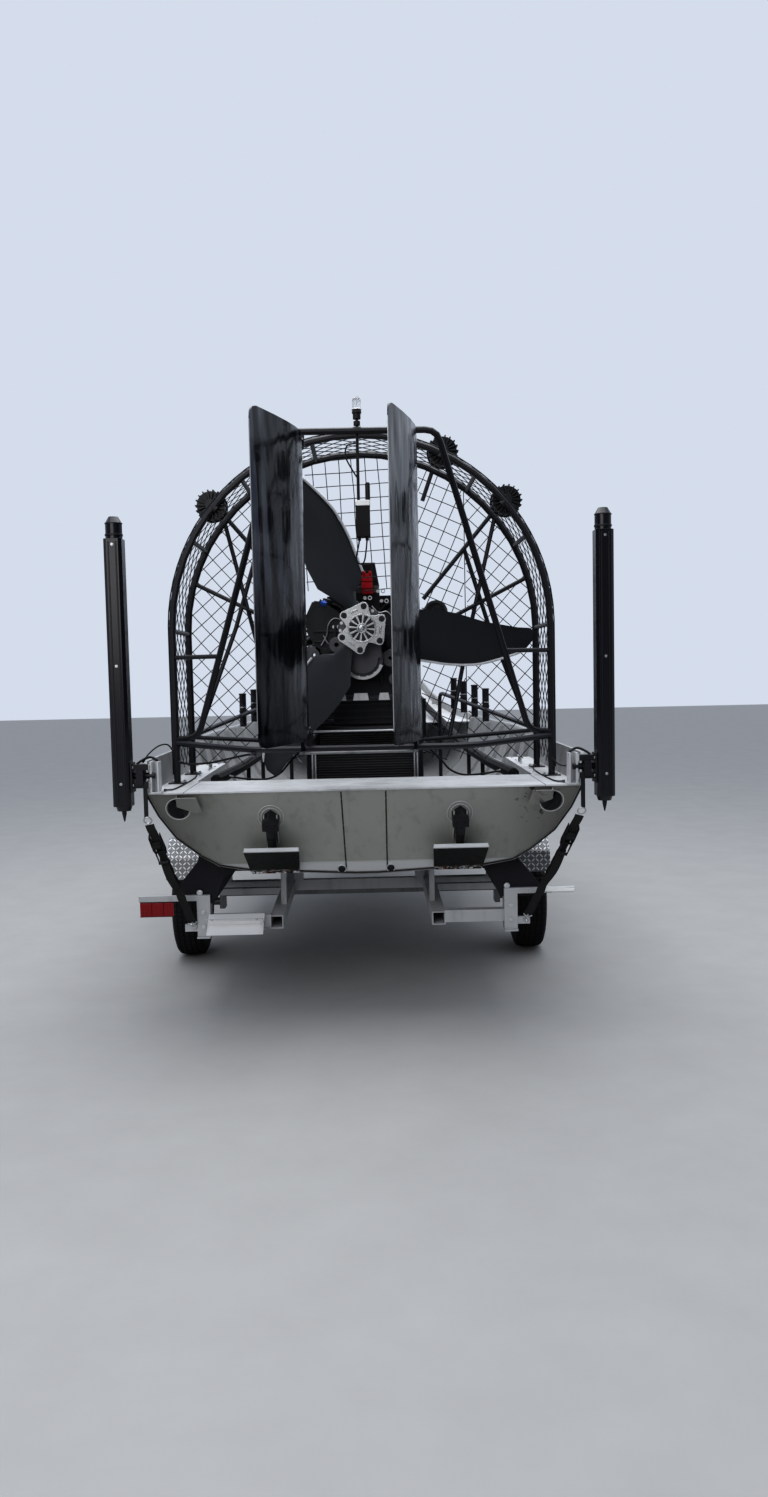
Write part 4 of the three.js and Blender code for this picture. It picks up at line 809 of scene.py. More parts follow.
def hose(name, corners, diameter, stiffness="medium", points=26):
    """A free hose or cable, fixed at both ends, on a smooth route through its corners."""
    route = smooth_route(corners, points)
    ferrules(name, route, diameter)
    curve = bpy.data.curves.new(name, "CURVE")
    curve.dimensions = "3D"
    spline = curve.splines.new("POLY")
    spline.points.add(len(route) - 1)
    for point, target in zip(spline.points, route):
        point.co = (*target, 1)
    curve.bevel_depth = diameter / 2
    curve.bevel_resolution = 3
    curve.use_fill_caps = True
    curve.materials.append(bpy.data.materials["rubber"])
    made = bpy.data.objects.new(name, curve)
    bpy.context.scene.collection.objects.link(made)
    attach(made, HULL)


class AIRBOAT_OT_stage(bpy.types.Operator):
    """Set up the camera, the plain pale floor and the soft studio light"""

    bl_idname = "airboat.stage"
    bl_label = "Stage"

    # Each lamp: the setting with its power, its place, its size
    LAMPS = {
        "Overhead": ("overhead_watts", (0, -1.5, 7.5), 7.0),
        "Fill": ("fill_watts", (-2.5, -9.5, 4.5), 5.0),
    }
    AIM = Vector((0, -1.5, 1))

    def execute(self, context):
        scene, stage = context.scene, context.scene.airboat_stage
        yaw, pitch, roll = stage.yaw, stage.pitch, stage.roll
        side = Vector((math.cos(yaw), math.sin(yaw), 0))
        level = Vector((-math.sin(yaw), math.cos(yaw), 0))
        ahead = math.cos(pitch) * level + math.sin(pitch) * UP
        up = -math.sin(pitch) * level + math.cos(pitch) * UP
        right = math.cos(roll) * side + math.sin(roll) * up
        top = -math.sin(roll) * side + math.cos(roll) * up
        lens = bpy.data.cameras.new("Camera")
        lens.lens, lens.sensor_width = stage.lens, 36
        scene.camera = self.place_in(scene, "Camera", lens)
        turned = Matrix((right, top, -ahead)).transposed().to_4x4()
        scene.camera.matrix_world = Matrix.Translation(stage.camera_place) @ turned

        half = stage.floor_size / 2
        floor = Shape()
        floor.box((-half, -half, -0.02), (half, half, 0.0))
        data = bpy.data.meshes.new("floor")
        floor.mesh.to_mesh(data)
        floor.mesh.free()
        data.materials.append(self.floor_finish(stage))
        self.place_in(scene, "floor", data)

        scene.world = bpy.data.worlds.new("Even sky")
        scene.world.use_nodes = True
        self.light_tent(scene.world.node_tree, stage)
        scene.view_settings.view_transform = "Standard"
        scene.view_settings.look = "Medium High Contrast"
        for name, (power, where, size) in self.LAMPS.items():
            lamp = bpy.data.lights.new(name, "AREA")
            lamp.energy, lamp.size = getattr(stage, power), size
            holder = self.place_in(scene, name, lamp)
            holder.location = where
            holder.rotation_euler = (self.AIM - Vector(where)).to_track_quat("-Z", "Y").to_euler()
        return {"FINISHED"}

    @staticmethod
    def place_in(scene, name, data):
        """An object that shows a camera, a lamp or a mesh."""
        made = bpy.data.objects.new(name, data)
        scene.collection.objects.link(made)
        return made

    @staticmethod
    def light_tent(tree, stage):
        """A tent of light: strongest overhead, weak low down behind the camera, and an even backdrop."""
        parts = split(tree, tree.nodes.new("ShaderNodeTexCoord").outputs["Generated"])
        facing = calc(tree, "ADD", times(tree, parts["Y"], 0.4), parts["Z"])
        pale, dark = (*stage.sky_colour, 1), (*stage.dark_colour, 1)
        background = tree.nodes["Background"]
        tree.links.new(mix(tree, ramp(tree, facing, -0.30, 0.90), dark, pale), background.inputs["Color"])
        background.inputs["Strength"].default_value = stage.sky_strength
        backdrop = add(tree, "ShaderNodeBackground", {"Color": pale, "Strength": stage.backdrop_strength})
        seen = tree.nodes.new("ShaderNodeLightPath").outputs["Is Camera Ray"]
        both = add(tree, "ShaderNodeMixShader", {
            0: seen, 1: background.outputs["Background"], 2: backdrop.outputs["Background"]})
        tree.links.new(both.outputs["Shader"], tree.nodes["World Output"].inputs["Surface"])

    @staticmethod
    def floor_finish(stage):
        """Plain pale concrete with a faint mottle."""
        material, tree, shader = new_material("pale_floor")
        darker = (*(0.86 * c for c in stage.floor_colour), 1)
        speckle = mottle(tree, place(tree), 3.0, 8.0)
        tree.links.new(mix(tree, speckle, (*stage.floor_colour, 1), darker), shader["Base Color"])
        tree.links.new(calc(tree, "ADD", times(tree, speckle, 0.2), 0.7), shader["Roughness"])
        return material


class AIRBOAT_OT_finishes(bpy.types.Operator):
    """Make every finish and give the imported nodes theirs"""

    bl_idname = "airboat.finishes"
    bl_label = "Finishes"

    def execute(self, context):
        for name, (wiring, inputs, outputs) in EFFECTS.items():
            effect(name, wiring, inputs, outputs)
        for name, row in FINISHES.items():
            material = make_finish(name, row)
            if name in EXTRAS:
                EXTRAS[name](material.node_tree)
        self.clear_lens()
        for finish, nodes in NODE_FINISHES.items():
            for node in nodes:
                self.dress(frame["nodes"][node], bpy.data.materials[finish])
        return {"FINISHED"}

    @staticmethod
    def clear_lens():
        """Clear moulded plastic of the stern light, a little clouded."""
        _, tree, shader = new_material("clear_lens")
        shader["Transmission Weight"].default_value = 0.85
        shader["IOR"].default_value = 1.45
        cloud = mottle(tree, place(tree), 60.0)
        tint = mix(tree, cloud, (0.85, 0.87, 0.88, 1), (0.70, 0.72, 0.74, 1))
        tree.links.new(tint, shader["Base Color"])
        tree.links.new(times(tree, cloud, 0.25), shader["Roughness"])

    @staticmethod
    def dress(node, material):
        """A finish, smooth round faces and softened edges."""
        data = node.data
        data.materials.clear()
        data.materials.append(material)
        worn_normals = data.attributes.get("custom_normal")
        if worn_normals:
            data.attributes.remove(worn_normals)
        data.shade_smooth()
        weld = node.modifiers.new("Join corners", "WELD")
        weld.merge_threshold = 0.00002
        soften(node, SOFT_EDGE, 1, ROUND_ANGLE).harden_normals = True


class AIRBOAT_OT_hoses(bpy.types.Operator):
    """Run the hoses and cables at the stern, on the mast and round the engine"""

    bl_idname = "airboat.hoses"
    bl_label = "Hoses and cables"

    # Corners of each route on the starboard side: across, ahead of the transom's top edge, height
    PAIRS = {
        "column_hose": ((1.056, 0.032, 1.420), (1.092, 0.012, 1.436), (1.132, -0.020, 1.418),
                        (1.164, -0.048, 1.390)),
        "deck_cable": ((1.024, 0.052, 1.262), (0.996, 0.120, 1.258), (0.985, 0.300, 1.257),
                       (0.980, 0.600, 1.257), (0.990, 0.850, 1.257), (1.012, 0.985, 1.262)),
        "stand_hose": ((0.797, 0.850, 1.250), (0.700, 0.850, 1.234), (0.580, 0.850, 1.230),
                       (0.500, 0.852, 1.262), (0.447, 0.855, 1.321), (0.352, 0.862, 1.420)),
    }
    SINGLES = {
        "cage_cable": ((-1.120, 0.000, 1.418), (-1.105, 0.080, 1.452), (-1.080, 0.200, 1.480),
                       (-1.062, 0.340, 1.478), (-1.056, 0.450, 1.446)),
        "leg_cable": ((1.046, 0.045, 1.345), (1.042, 0.150, 1.334), (1.040, 0.300, 1.332),
                      (1.037, 0.448, 1.350)),
        "steering_cable": ((-1.022, 0.456, 1.372), (-0.940, 0.380, 1.366), (-0.820, 0.280, 1.380),
                           (-0.700, 0.180, 1.408), (-0.610, 0.095, 1.430), (-0.566, 0.052, 1.436)),
    }
    # The loop under the tank on the mast: across, height
    MAST_LOOP = ((0.002, 2.524), (-0.006, 2.480), (-0.017, 2.430), (-0.010, 2.402), (0.009, 2.394),
                 (0.024, 2.412), (0.034, 2.470), (0.040, 2.524))

    def execute(self, context):
        sizes = context.scene.airboat_sizes
        thick = {"column_hose": sizes.hose, "stand_hose": sizes.hose, "steering_cable": sizes.hose}
        for side_name, side in SIDES:
            for name, corners in self.PAIRS.items():
                hose(f"{name}_{side_name}", [boat(side * x, y, z) for x, y, z in corners],
                     thick.get(name, sizes.cable), "limp" if name == "deck_cable" else "medium")
        blocks = Shape()
        for side in (-1, 1):
            blocks.block(side * 1.016, 0.014, 0.982, 1.000, DECK_Z - 0.001, 1.270)
        build(blocks, "deck_blocks", ["cast_metal"], soft_edge=0.003)
        for name, corners in self.SINGLES.items():
            hose(name, [boat(*corner) for corner in corners], thick.get(name, sizes.cable))
        hose("mast_hose", [boat(x, MAST_Y, z) for x, z in self.MAST_LOOP], sizes.cable, "limp", points=34)
        return {"FINISHED"}


class AIRBOAT_OT_transom(bpy.types.Operator):
    """Weld seams, drain plugs, gussets and cylinder mounts on the transom"""

    bl_idname = "airboat.transom"
    bl_label = "Transom fittings"

    SEAM_TOP, SEAM_FOOT, DRAIN_Z = 1.238, 0.790, 0.795
    # Gabled housing over a cylinder's upper pin, outside and inside: x, z
    HOOD = ((-0.042, 1.075), (-0.042, 1.118), (0.0, 1.150), (0.042, 1.118), (0.042, 1.075))
    HOOD_INSIDE = ((-0.036, 1.075), (-0.036, 1.113), (0.0, 1.141), (0.036, 1.113), (0.036, 1.075))
    # Folded plate over the upper inner half of a scupper: x, z
    GUSSET = ((0.960, 1.243), (0.960, 1.195), (0.868, 1.160), (0.832, 1.160), (0.857, 1.243))
    # The hull's end as it shows round the transom, from the sheer down to the keel: x, z
    RIM = ((1.108, 1.243), (1.064, 1.125), (0.989, 0.998), (0.873, 0.892), (0.784, 0.834), (0.610, 0.801),
           (0.357, 0.789), (0.060, 0.771))

    def execute(self, context):
        weld = context.scene.airboat_sizes.weld
        metal, pale, seams, dark, rim = (Shape() for _ in range(5))
        for top_x, low_x in ((-0.123, -0.110), (0.106, 0.110)):
            seams.bead(on_transom(top_x, self.SEAM_TOP), on_transom(low_x, self.SEAM_FOOT), weld, TRANSOM_OUT)
            for z in (1.20, 1.05, 0.93, 0.84):
                x = top_x + (low_x - top_x) * (self.SEAM_TOP - z) / (self.SEAM_TOP - self.SEAM_FOOT)
                metal.bead(on_transom(x - 0.012, z), on_transom(x + 0.012, z), 0.0035, TRANSOM_OUT)
        metal.bead(on_transom(-0.60, 0.838), on_transom(0.60, 0.838), 0.0028, TRANSOM_OUT)
        for side in (-1, 1):
            self.cylinder_ring(pale, side * CYLINDER_X)
            self.gusset(metal, side)
            self.loop(pale, side * 0.962, 1.163, 0.062, 0.058, 0.001, 0.0026, 40)
        build(metal, "transom_welds", ["transom_plate"])
        build(seams, "transom_seams", ["soot_black"])

        for x in (-0.134, 0.129):
            dark.lathe([(0.019, 0.0), (0.019, 0.006), (0.012, 0.009), (0.006, 0.009), (0.006, 0.0)],
                       on_transom(x, self.DRAIN_Z), TRANSOM_OUT, 20)
            dark.bolt(on_transom(x, self.DRAIN_Z, 0.004), TRANSOM_OUT, 0.007)
            self.loop(pale, x, self.DRAIN_Z, 0.023, 0.023, 0.002, 0.0035, 28)
        build(pale, "transom_rings", ["deck_plate"])
        for side in (-1, 1):
            self.cylinder_hood(dark, side * CYLINDER_X)
        build(dark, "transom_mounts", ["black_paint"], soft_edge=0.0012)
        # Painted shadow: the rim is drawn black for the dark line where the hull's side meets the transom
        rim.tube([on_transom(side * x, z, 0.004) for side, points in ((-1, self.RIM), (1, self.RIM[::-1]))
                  for x, z in points], 0.0045, 8)
        build(rim, "transom_rim", ["soot_black"])
        return {"FINISHED"}

    @staticmethod
    def loop(shape, x, z, wide, high, out, thick, count):
        """A round or oval bead on the transom's face."""
        turns = (2 * math.pi * i / count for i in range(count))
        shape.tube([on_transom(x + wide * math.cos(t), z + high * math.sin(t), out) for t in turns],
                   thick, 6, loop=True)

    def cylinder_ring(self, shape, middle):
        """Two weld rings round a cylinder's top, and the channel that the cylinder lies in."""
        for radius in (0.066, 0.050):
            self.loop(shape, middle, 1.106, radius, radius, 0.001, 0.0022, 36)
        for x in (-0.0335, 0.0310):
            shape.prism([on_transom(middle + x, z, out) for z, out in (
                (1.085, -0.001), (1.085, 0.034), (0.965, 0.022), (0.965, -0.001))], (0.0025, 0, 0))

    def cylinder_hood(self, shape, middle):
        """The gabled housing over a cylinder's upper pin."""
        walls = self.HOOD + self.HOOD_INSIDE[::-1]
        for outline, near, far in ((walls, 0.002, 0.073), (self.HOOD, 0.073, 0.077)):
            shape.prism([on_transom(middle + x, z, near) for x, z in outline], TRANSOM_OUT * (far - near))
        for x in (-0.020, 0.020):
            shape.bolt(on_transom(middle + x, 1.100, 0.078), TRANSOM_OUT, 0.006)

    def gusset(self, shape, side):
        """The folded plate, and the two webs that stand it off the transom."""
        shape.prism([on_transom(side * x, z, 0.030) for x, z in self.GUSSET], TRANSOM_OUT * 0.004)
        for (x0, z0), (x1, z1) in zip(self.GUSSET, self.GUSSET[1:3]):
            shape.skin([[on_transom(side * (x - thick), z, out) for x, z, out in (
                (x0, z0, 0.0), (x1, z1, 0.0), (x1, z1, 0.031), (x0, z0, 0.031))] for thick in (0, 0.004)])


class AIRBOAT_OT_boots(bpy.types.Operator):
    """Ribbed rubber boots over the rods of the trim tabs' cylinders"""

    bl_idname = "airboat.boots"
    bl_label = "Cylinder boots"

    PIN = (0.050, 1.098)
    EYE = (0.1184, 0.9149)
    START, END_GAP = 0.090, 0.016  # from the pin, and short of the eye
    RIBS = 7

    def execute(self, context):
        for name, side in SIDES:
            pin, eye = boat(side * CYLINDER_X, *self.PIN), boat(side * CYLINDER_X, *self.EYE)
            end = (eye - pin).length - self.END_GAP
            steps = self.RIBS * 2
            ribs = [(0.0225 if k % 2 else 0.0185, self.START + (end - self.START) * k / steps)
                    for k in range(steps + 1)]
            shape = Shape()
            shape.lathe([(0.0095, self.START), *ribs, (0.0095, end)], pin, eye - pin)
            build(shape, f"rod_boot_{name}", ["rubber"], f"tab_rod_{name}")
        return {"FINISHED"}


class AIRBOAT_OT_decks(bpy.types.Operator):
    """Seams, foot plate bolts and cleats on the deck plates"""

    bl_idname = "airboat.decks"
    bl_label = "Deck fittings"

    def execute(self, context):
        bolt = context.scene.airboat_sizes.bolt
        seams, bolts = Shape(), Shape()
        for side in (-1, 1):
            seams.block(side * 0.922, 0.0015, -0.0105, 0.545, DECK_Z - 0.004, DECK_Z + 0.0006)
            seams.block(side * 1.02 - 0.0075, 0.0675, 0.5485, 0.5515, DECK_Z - 0.003, DECK_Z + 0.0006)
            for y in (REAR_HOOP_Y, FRONT_HOOP_Y):
                for dx in (-0.034, 0.034):
                    for dy in (-0.034, 0.034):
                        bolts.bolt(boat(side * 1.035 + dx, y + dy, DECK_Z + 0.0105), UP, 0.007)
            for y in (0.70, 0.88, 1.25, 1.50, 1.70):
                bolts.bolt(boat(side * 0.975, y, DECK_Z + 0.001), UP, bolt * 0.7)
            cleat = boat(side * 0.985, 1.38, DECK_Z)
            for y in (-0.03, 0.03):
                bolts.rod(off(cleat, y=y), off(cleat, y=y, z=0.03), 0.008)
            bolts.tube([off(cleat, y=y, z=0.034 + 0.6 * y * y) for y in (-0.085, -0.05, 0.0, 0.05, 0.085)],
                       [0.005, 0.009, 0.010, 0.009, 0.005])
        build(seams, "deck_seams", ["soot_black"])
        build(bolts, "deck_bolts", ["bright_metal"])
        return {"FINISHED"}


class AIRBOAT_OT_hull(bpy.types.Operator):
    """Ribs and a top rail inside the hull, and the edge that runs round its sheer"""

    bl_idname = "airboat.hull"
    bl_label = "Hull framing"

    # Half sections of the hull's inside: ahead of the transom, share of the beam, keel, sheer
    STATIONS = ((0.7, 1.0, 0.757, 1.405), (2.9, 1.0, 0.757, 1.405), (3.5, 0.93, 0.772, 1.410),
                (4.0, 0.83, 0.832, 1.435), (4.45, 0.71, 0.957, 1.485), (4.85, 0.58, 1.152, 1.575),
                (5.25, 0.45, 1.462, 1.785))
    # Points up the side of the first section: x, z
    SECTION = ((0.880, 0.886), (0.998, 0.995), (1.073, 1.125), (1.118, 1.245), (1.150, 1.405))

    def side_points(self, y, inset):
        """Points up the inside of the hull's side at a distance from the transom."""
        for (y0, *low), (y1, *high) in zip(self.STATIONS, self.STATIONS[1:]):
            if y <= y1:
                share = max(0.0, (y - y0) / (y1 - y0))
                beam, keel, sheer = (a + (b - a) * share for a, b in zip(low, high))
                break
        first_keel, first_sheer = self.STATIONS[0][2:]
        stretch = (sheer - keel) / (first_sheer - first_keel)
        return [(x * beam - inset, keel + (z - first_keel) * stretch) for x, z in self.SECTION]

    def execute(self, context):
        pitch = context.scene.airboat_sizes.rib_pitch
        ribs = Shape()
        for side in (-1, 1):
            y = 1.86
            while y < 4.95:
                loop = self.side_points(y, 0.019) + self.side_points(y, 0.052)[::-1]
                ribs.prism([boat(side * x, y, z - 0.01) for x, z in loop], (0, 0.032, 0))
                y += pitch
            # The gunwale, and a lower stringer: first place, count, inset, point of the section, lift, radius
            for first, count, inset, point, lift, radius in (
                (1.2, 17, 0.002, -1, 0.004, 0.013), (1.84, 13, 0.040, 2, 0.0, 0.014),
            ):
                places = [first + 0.25 * step for step in range(count)]
                run = [(y, *self.side_points(y, inset)[point]) for y in places]
                ribs.tube([boat(side * x, y, z + lift) for y, x, z in run], radius, 8)
        build(ribs, "hull_ribs", ["sheet_aluminium"])
        return {"FINISHED"}


class AIRBOAT_OT_net(bpy.types.Operator):
    """The wire net of the propeller's cage"""

    bl_idname = "airboat.net"
    bl_label = "Cage net"

    FACE_Y = 1.0298
    RADIUS = 1.0568
    LOW = 1.3025
    LENGTH = 2 * (HUB.z - LOW) + math.pi * RADIUS
    # Panels of the net's flat face: from x, to x, turn of its cells in degrees
    PANELS = ((-1.06, -0.62, 42), (-0.62, -0.34, 24), (-0.34, 0.34, 3), (0.34, 0.62, -24),
              (0.62, 1.06, -42))
    PANEL_REACH = 1.43  # more than half of a panel's diagonal
    STEP = 0.02

    def execute(self, context):
        sizes = context.scene.airboat_sizes
        wire, pitch = sizes.net_wire, sizes.net_pitch
        wires = Shape()
        for x0, x1, turn in self.PANELS:
            for quarter in (0, 90):
                self.lay(wires, x0, x1, math.radians(turn + quarter), pitch, wire)
        for x in (-0.62, -0.34, 0.34, 0.62):
            top = HUB.z + math.sqrt(self.RADIUS**2 - x * x)
            wires.rod(boat(x, self.FACE_Y, self.LOW), boat(x, self.FACE_Y, top), wire, 5)
        for y in (self.FACE_Y, REAR_HOOP_Y):
            wires.tube([self.along(self.LENGTH * i / 60, y) for i in range(61)], wire * 1.3, 5)
        wide = self.FACE_Y - REAR_HOOP_Y
        spacing = pitch * math.sqrt(2)
        for k in range(math.ceil((self.LENGTH + wide) / spacing)):
            for lean in (-1, 1):
                start = k * spacing - (wide if lean > 0 else 0)
                run = [(start + lean * wide * i / 12, REAR_HOOP_Y + wide * i / 12) for i in range(13)]
                run = [self.along(far, y) for far, y in run if 0 <= far <= self.LENGTH]
                if len(run) > 1:
                    wires.tube(run, wire, 5)
        build(wires, "cage_net_wire", ["net_wire"], replaces=("cage_net", "cage_net_band"))
        return {"FINISHED"}

    def along(self, far, y):
        """A point of the cage's outline, at a distance from its right foot."""
        leg = HUB.z - self.LOW
        if far < leg:
            return boat(self.RADIUS, y, self.LOW + far)
        turn = (far - leg) / self.RADIUS
        if turn < math.pi:
            return astern_view(self.RADIUS, math.degrees(turn), y)
        return boat(-self.RADIUS, y, self.LOW + self.LENGTH - far)

    def open_to_net(self, x, z, x0, x1):
        """Whether a point is in the panel and in the cage, and clear of the engine in its middle."""
        if not x0 <= x <= x1 or z < self.LOW or (abs(x) < 0.345 and z < 2.33):
            return False
        return abs(x) <= self.RADIUS and (z <= HUB.z or math.hypot(x, z - HUB.z) <= self.RADIUS)

    def lay(self, wires, x0, x1, turn, pitch, wire):
        """One family of parallel wires across a panel, each a little uneven."""
        along = Vector((math.cos(turn), math.sin(turn)))
        across = Vector((-along.y, along.x))
        centre = Vector(((x0 + x1) / 2, 2.25))
        reach = math.ceil(self.PANEL_REACH / pitch)
        for k in range(-reach, reach + 1):
            run = []
            for step in range(-90, 91):
                point = centre + across * (k * pitch) + along * (step * self.STEP)
                wobble = 0.006 * noise.noise(Vector((point.x * 5, k * 3.1, point.y * 5)))
                x, z = point + across * wobble
                if self.open_to_net(x, z, x0, x1):
                    run.append(boat(x, self.FACE_Y, z))
                    continue
                self.string(wires, run, wire)
                run = []
            self.string(wires, run, wire)

    @staticmethod
    def string(wires, run, wire):
        """A wire through every third point of a run, and its last."""
        if len(run) > 2:
            wires.tube(run[::3] + ([run[-1]] if (len(run) - 1) % 3 else []), wire, 5)


class AIRBOAT_OT_propeller(bpy.types.Operator):
    """The polished hub plate, its bolts and slots, and the strips along the blades' edges"""

    bl_idname = "airboat.propeller"
    bl_label = "Propeller fittings"

    PLATE_Y = 0.600
    PLATE_THICK = 0.009
    # Outline of one lobe of the plate: degrees from the blade's line, radius
    LOBE = ((-60, 0.088), (-48, 0.104), (-40, 0.136), (-34, 0.146), (-26, 0.145), (0, 0.129), (26, 0.145),
            (34, 0.146), (40, 0.136), (48, 0.104))
    BOLT_TURN = 30
    # Leading edge of a blade: radius, half chord with sweep, pitch in degrees
    BLADE = ((0.300, 0.1745, 36), (0.425, 0.176, 32), (0.525, 0.174, 28), (0.690, 0.148, 22),
             (0.880, 0.070, 18), (0.945, 0.0285, 17))
    BLADE_ANGLES = (-6, 114, 234)

    def execute(self, context):
        face_y = self.PLATE_Y - self.PLATE_THICK
        plate, dark, strips = Shape(), Shape(), Shape()
        plate.prism([astern_view(radius, base + turn, self.PLATE_Y)
                     for base in self.BLADE_ANGLES for turn, radius in self.LOBE], ASTERN * self.PLATE_THICK)
        for radius, thick in ((0.077, 0.0045), (0.024, 0.006)):
            plate.tube([astern_view(radius, turn, face_y) for turn in range(0, 360, 10)], thick, 8, loop=True)
        for base in self.BLADE_ANGLES:
            plate.tube([astern_view(0.104, base + turn, face_y + 0.0005) for turn in range(-12, 13, 6)],
                       0.007, 8)
        plate.lathe([(0.004, 0.0), (0.022, 0.0), (0.018, 0.012), (0.004, 0.016)],
                    boat(0, face_y + 0.001, HUB.z), ASTERN)
        build(plate, "hub_plate", ["polished_aluminium"], "propeller", soft_edge=0.0015)

        for i in range(12):
            turn = i * 30 + 8
            inner, outer = (astern_view(radius, turn, face_y + 0.0005) for radius in (0.030, 0.071))
            side = Vector((-math.sin(math.radians(turn)), 0, math.cos(math.radians(turn))))
            dark.prism([inner - side * 0.0045, inner + side * 0.0045, outer + side * 0.0125,
                        outer - side * 0.0125], (0, -0.0020, 0))
            if i % 2:
                dark.bolt(astern_view(0.058, turn, face_y - 0.0015), ASTERN, 0.0070)
        for base in self.BLADE_ANGLES:
            for offset in (-self.BOLT_TURN, self.BOLT_TURN):
                dark.bolt(astern_view(0.122, base + offset, face_y - 0.0015), ASTERN, 0.0125)
        build(dark, "hub_bolts", ["black_paint"], "propeller")

        for base in self.BLADE_ANGLES:
            turn = Matrix.Rotation(-math.radians(base), 3, "Y")
            route = []
            for radius, forward, pitch in self.BLADE:
                c, s = math.cos(math.radians(pitch)), math.sin(math.radians(pitch))
                route.append(HUB + turn @ Vector((radius, forward * s - 0.003, -(forward + 0.004) * c)))
            strips.tube(smooth_route(route, 22), [0.0075] * 21 + [0.003], 8)
        build(strips, "blade_edge_strips", ["blade_edge"], "propeller")
        return {"FINISHED"}


class AIRBOAT_OT_engine(bpy.types.Operator):
    """Rocker covers, coils, headers, belts and brackets round the engine"""

    bl_idname = "airboat.engine"
    bl_label = "Engine fittings"

    LOWER_SHAFT_Z = 1.925

    def execute(self, context):
        self.castings()
        self.drive()
        self.belt()
        self.coils_and_couplings()
        self.pulleys()
        self.clips_and_ribs()
        self.headers()
        return {"FINISHED"}

    @staticmethod
    def castings():
        """Ribbed rocker covers on both banks, a sump and a front cover."""
        shape = Shape()
        # Ribs and cover of a bank: its near end, length, half width at foot and crest, rise
        sections = [(1.125 + k * 0.058, 0.022, 0.085, 0.070, 0.040) for k in range(9)]
        sections.append((1.11, 0.51, 0.092, 0.080, 0.030))
        for side in (-1, 1):
            low, high = Vector((side * 0.340, 0, 2.100)), Vector((side * 0.250, 0, 2.290))
            out = Vector((side * 0.19, 0, 0.09)).normalized()
            up = (high - low).normalized()
            for y, depth, foot, crest, rise in sections:
                base = (low + high) / 2 + boat(0, y, 0)
                shape.prism([base + up * u + out * v for u, v in (
                    (-foot, -0.004), (foot, -0.004), (crest, rise), (-crest, rise))], (0, depth, 0))
            for y in (1.16, 1.28, 1.40, 1.52):
                shape.lathe([(0.010, 0), (0.030, 0), (0.030, 0.030), (0.010, 0.034)],
                            boat(side * 0.215, y, 2.262), (-side * 0.3, 0, 1), 16)
        for z in (1.56, 1.60, 1.64, 1.68):
            shape.block(0, 0.186, 1.075, 1.092, z, z + 0.014)
        shape.lathe([(0.02, 0), (0.055, 0), (0.055, 0.05), (0.045, 0.06), (0.02, 0.06)],
                    boat(-0.17, 1.09, 1.83), ASTERN)
        shape.lathe([(0.02, 0), (0.062, 0), (0.062, 0.045), (0.02, 0.05)], boat(0.20, 1.09, 2.02), ASTERN)
        build(shape, "engine_castings", ["engine_casting"], soft_edge=0.002)

    def drive(self):
        """The belt drive's pale lower cover, its ring of bolts and the stand's bright tubes, two of them thin
        rods that are painted highlights along its cross tubes.
        """
        pale = Shape()
        cover = ((0.125, -0.004), (0.125, 0.008), (0.108, 0.008), (0.108, -0.004))
        pale.skin([[astern_view(radius, turn, 0.890 - out, self.LOWER_SHAFT_Z) for radius, out in cover]
                   for turn in range(200, 341, 7)])
        for turn in range(205, 340, 26):
            pale.bolt(astern_view(0.113, turn, 0.882, self.LOWER_SHAFT_Z), ASTERN, 0.007)
        for turn in range(0, 181, 20):
            pale.bolt(astern_view(0.128, turn, 0.889), ASTERN, 0.007)
        for x, width in ((-0.138, 0.038), (-0.062, 0.093), (0.087, 0.066)):
            pale.prism([boat(x + dx, 0.832, z) for dx, z in (
                (0, 1.680), (width, 1.680), (width - 0.008, 1.722), (0.008, 1.722))], (0, 0.018, 0))
            pale.bolt(boat(x + width / 2, 0.832, 1.700), ASTERN, 0.006)
        # Painted highlights: two thin bright rods across the stand stand in for the light caught along its
        # cross tubes
        for z, radius in ((1.503, 0.007), (1.412, 0.005)):
            pale.rod(boat(-0.318, 0.834, z), boat(0.318, 0.834, z), radius, 10)
        for side in (-1, 1):
            pale.rod(boat(side * 0.308, 0.842, 0.86), boat(side * 0.308, 0.842, 1.42), 0.007, 10)
            pale.block(side * 0.292, 0.004, 0.872, 0.890, 0.86, 1.38)
        build(pale, "drive_trim", ["bright_metal"])

    def belt(self):
        """Seven strands, each over the upper pulley and under the lower one."""
        belt = Shape()
        for k in range(7):
            y = 0.902 + k * 0.022
            for first, radius, middle in ((0, 0.143, HUB.z), (180, 0.123, self.LOWER_SHAFT_Z)):
                section = ((radius, 0), (radius, 0.014), (radius - 0.008, 0.014), (radius - 0.008, 0))
                belt.skin([[astern_view(r, first + turn, y + d, middle) for r, d in section]
                           for turn in range(0, 181, 12)])
        build(belt, "drive_belt", ["rubber"])

    @staticmethod
    def coils_and_couplings():
        """The red coil block on the engine's top, and the blue hose couplings."""
        red, blue = Shape(), Shape()
        for z in (2.352, 2.392):
            red.block(0.037, 0.035, 1.130, 1.180, z, z + 0.034)
        red.block(0.038, 0.032, 1.150, 1.180, 2.318, 2.440)
        for x in (0.018, 0.054):
            red.rod(boat(x, 1.120, 2.445), boat(x, 1.150, 2.445), 0.010)
        build(red, "coil_block", ["coil_red"], soft_edge=0.002)
        for end in (boat(-0.215, 1.100, 2.255), boat(-0.190, 1.120, 2.215), boat(0.255, 1.100, 2.190)):
            blue.rod(end, off(end, -0.035, 0, 0.012), 0.017)
            blue.rod(off(end, -0.010, 0, 0.004), off(end, -0.018, 0, 0.006), 0.022, 6)
        build(blue, "hose_couplings", ["coupling_blue"])

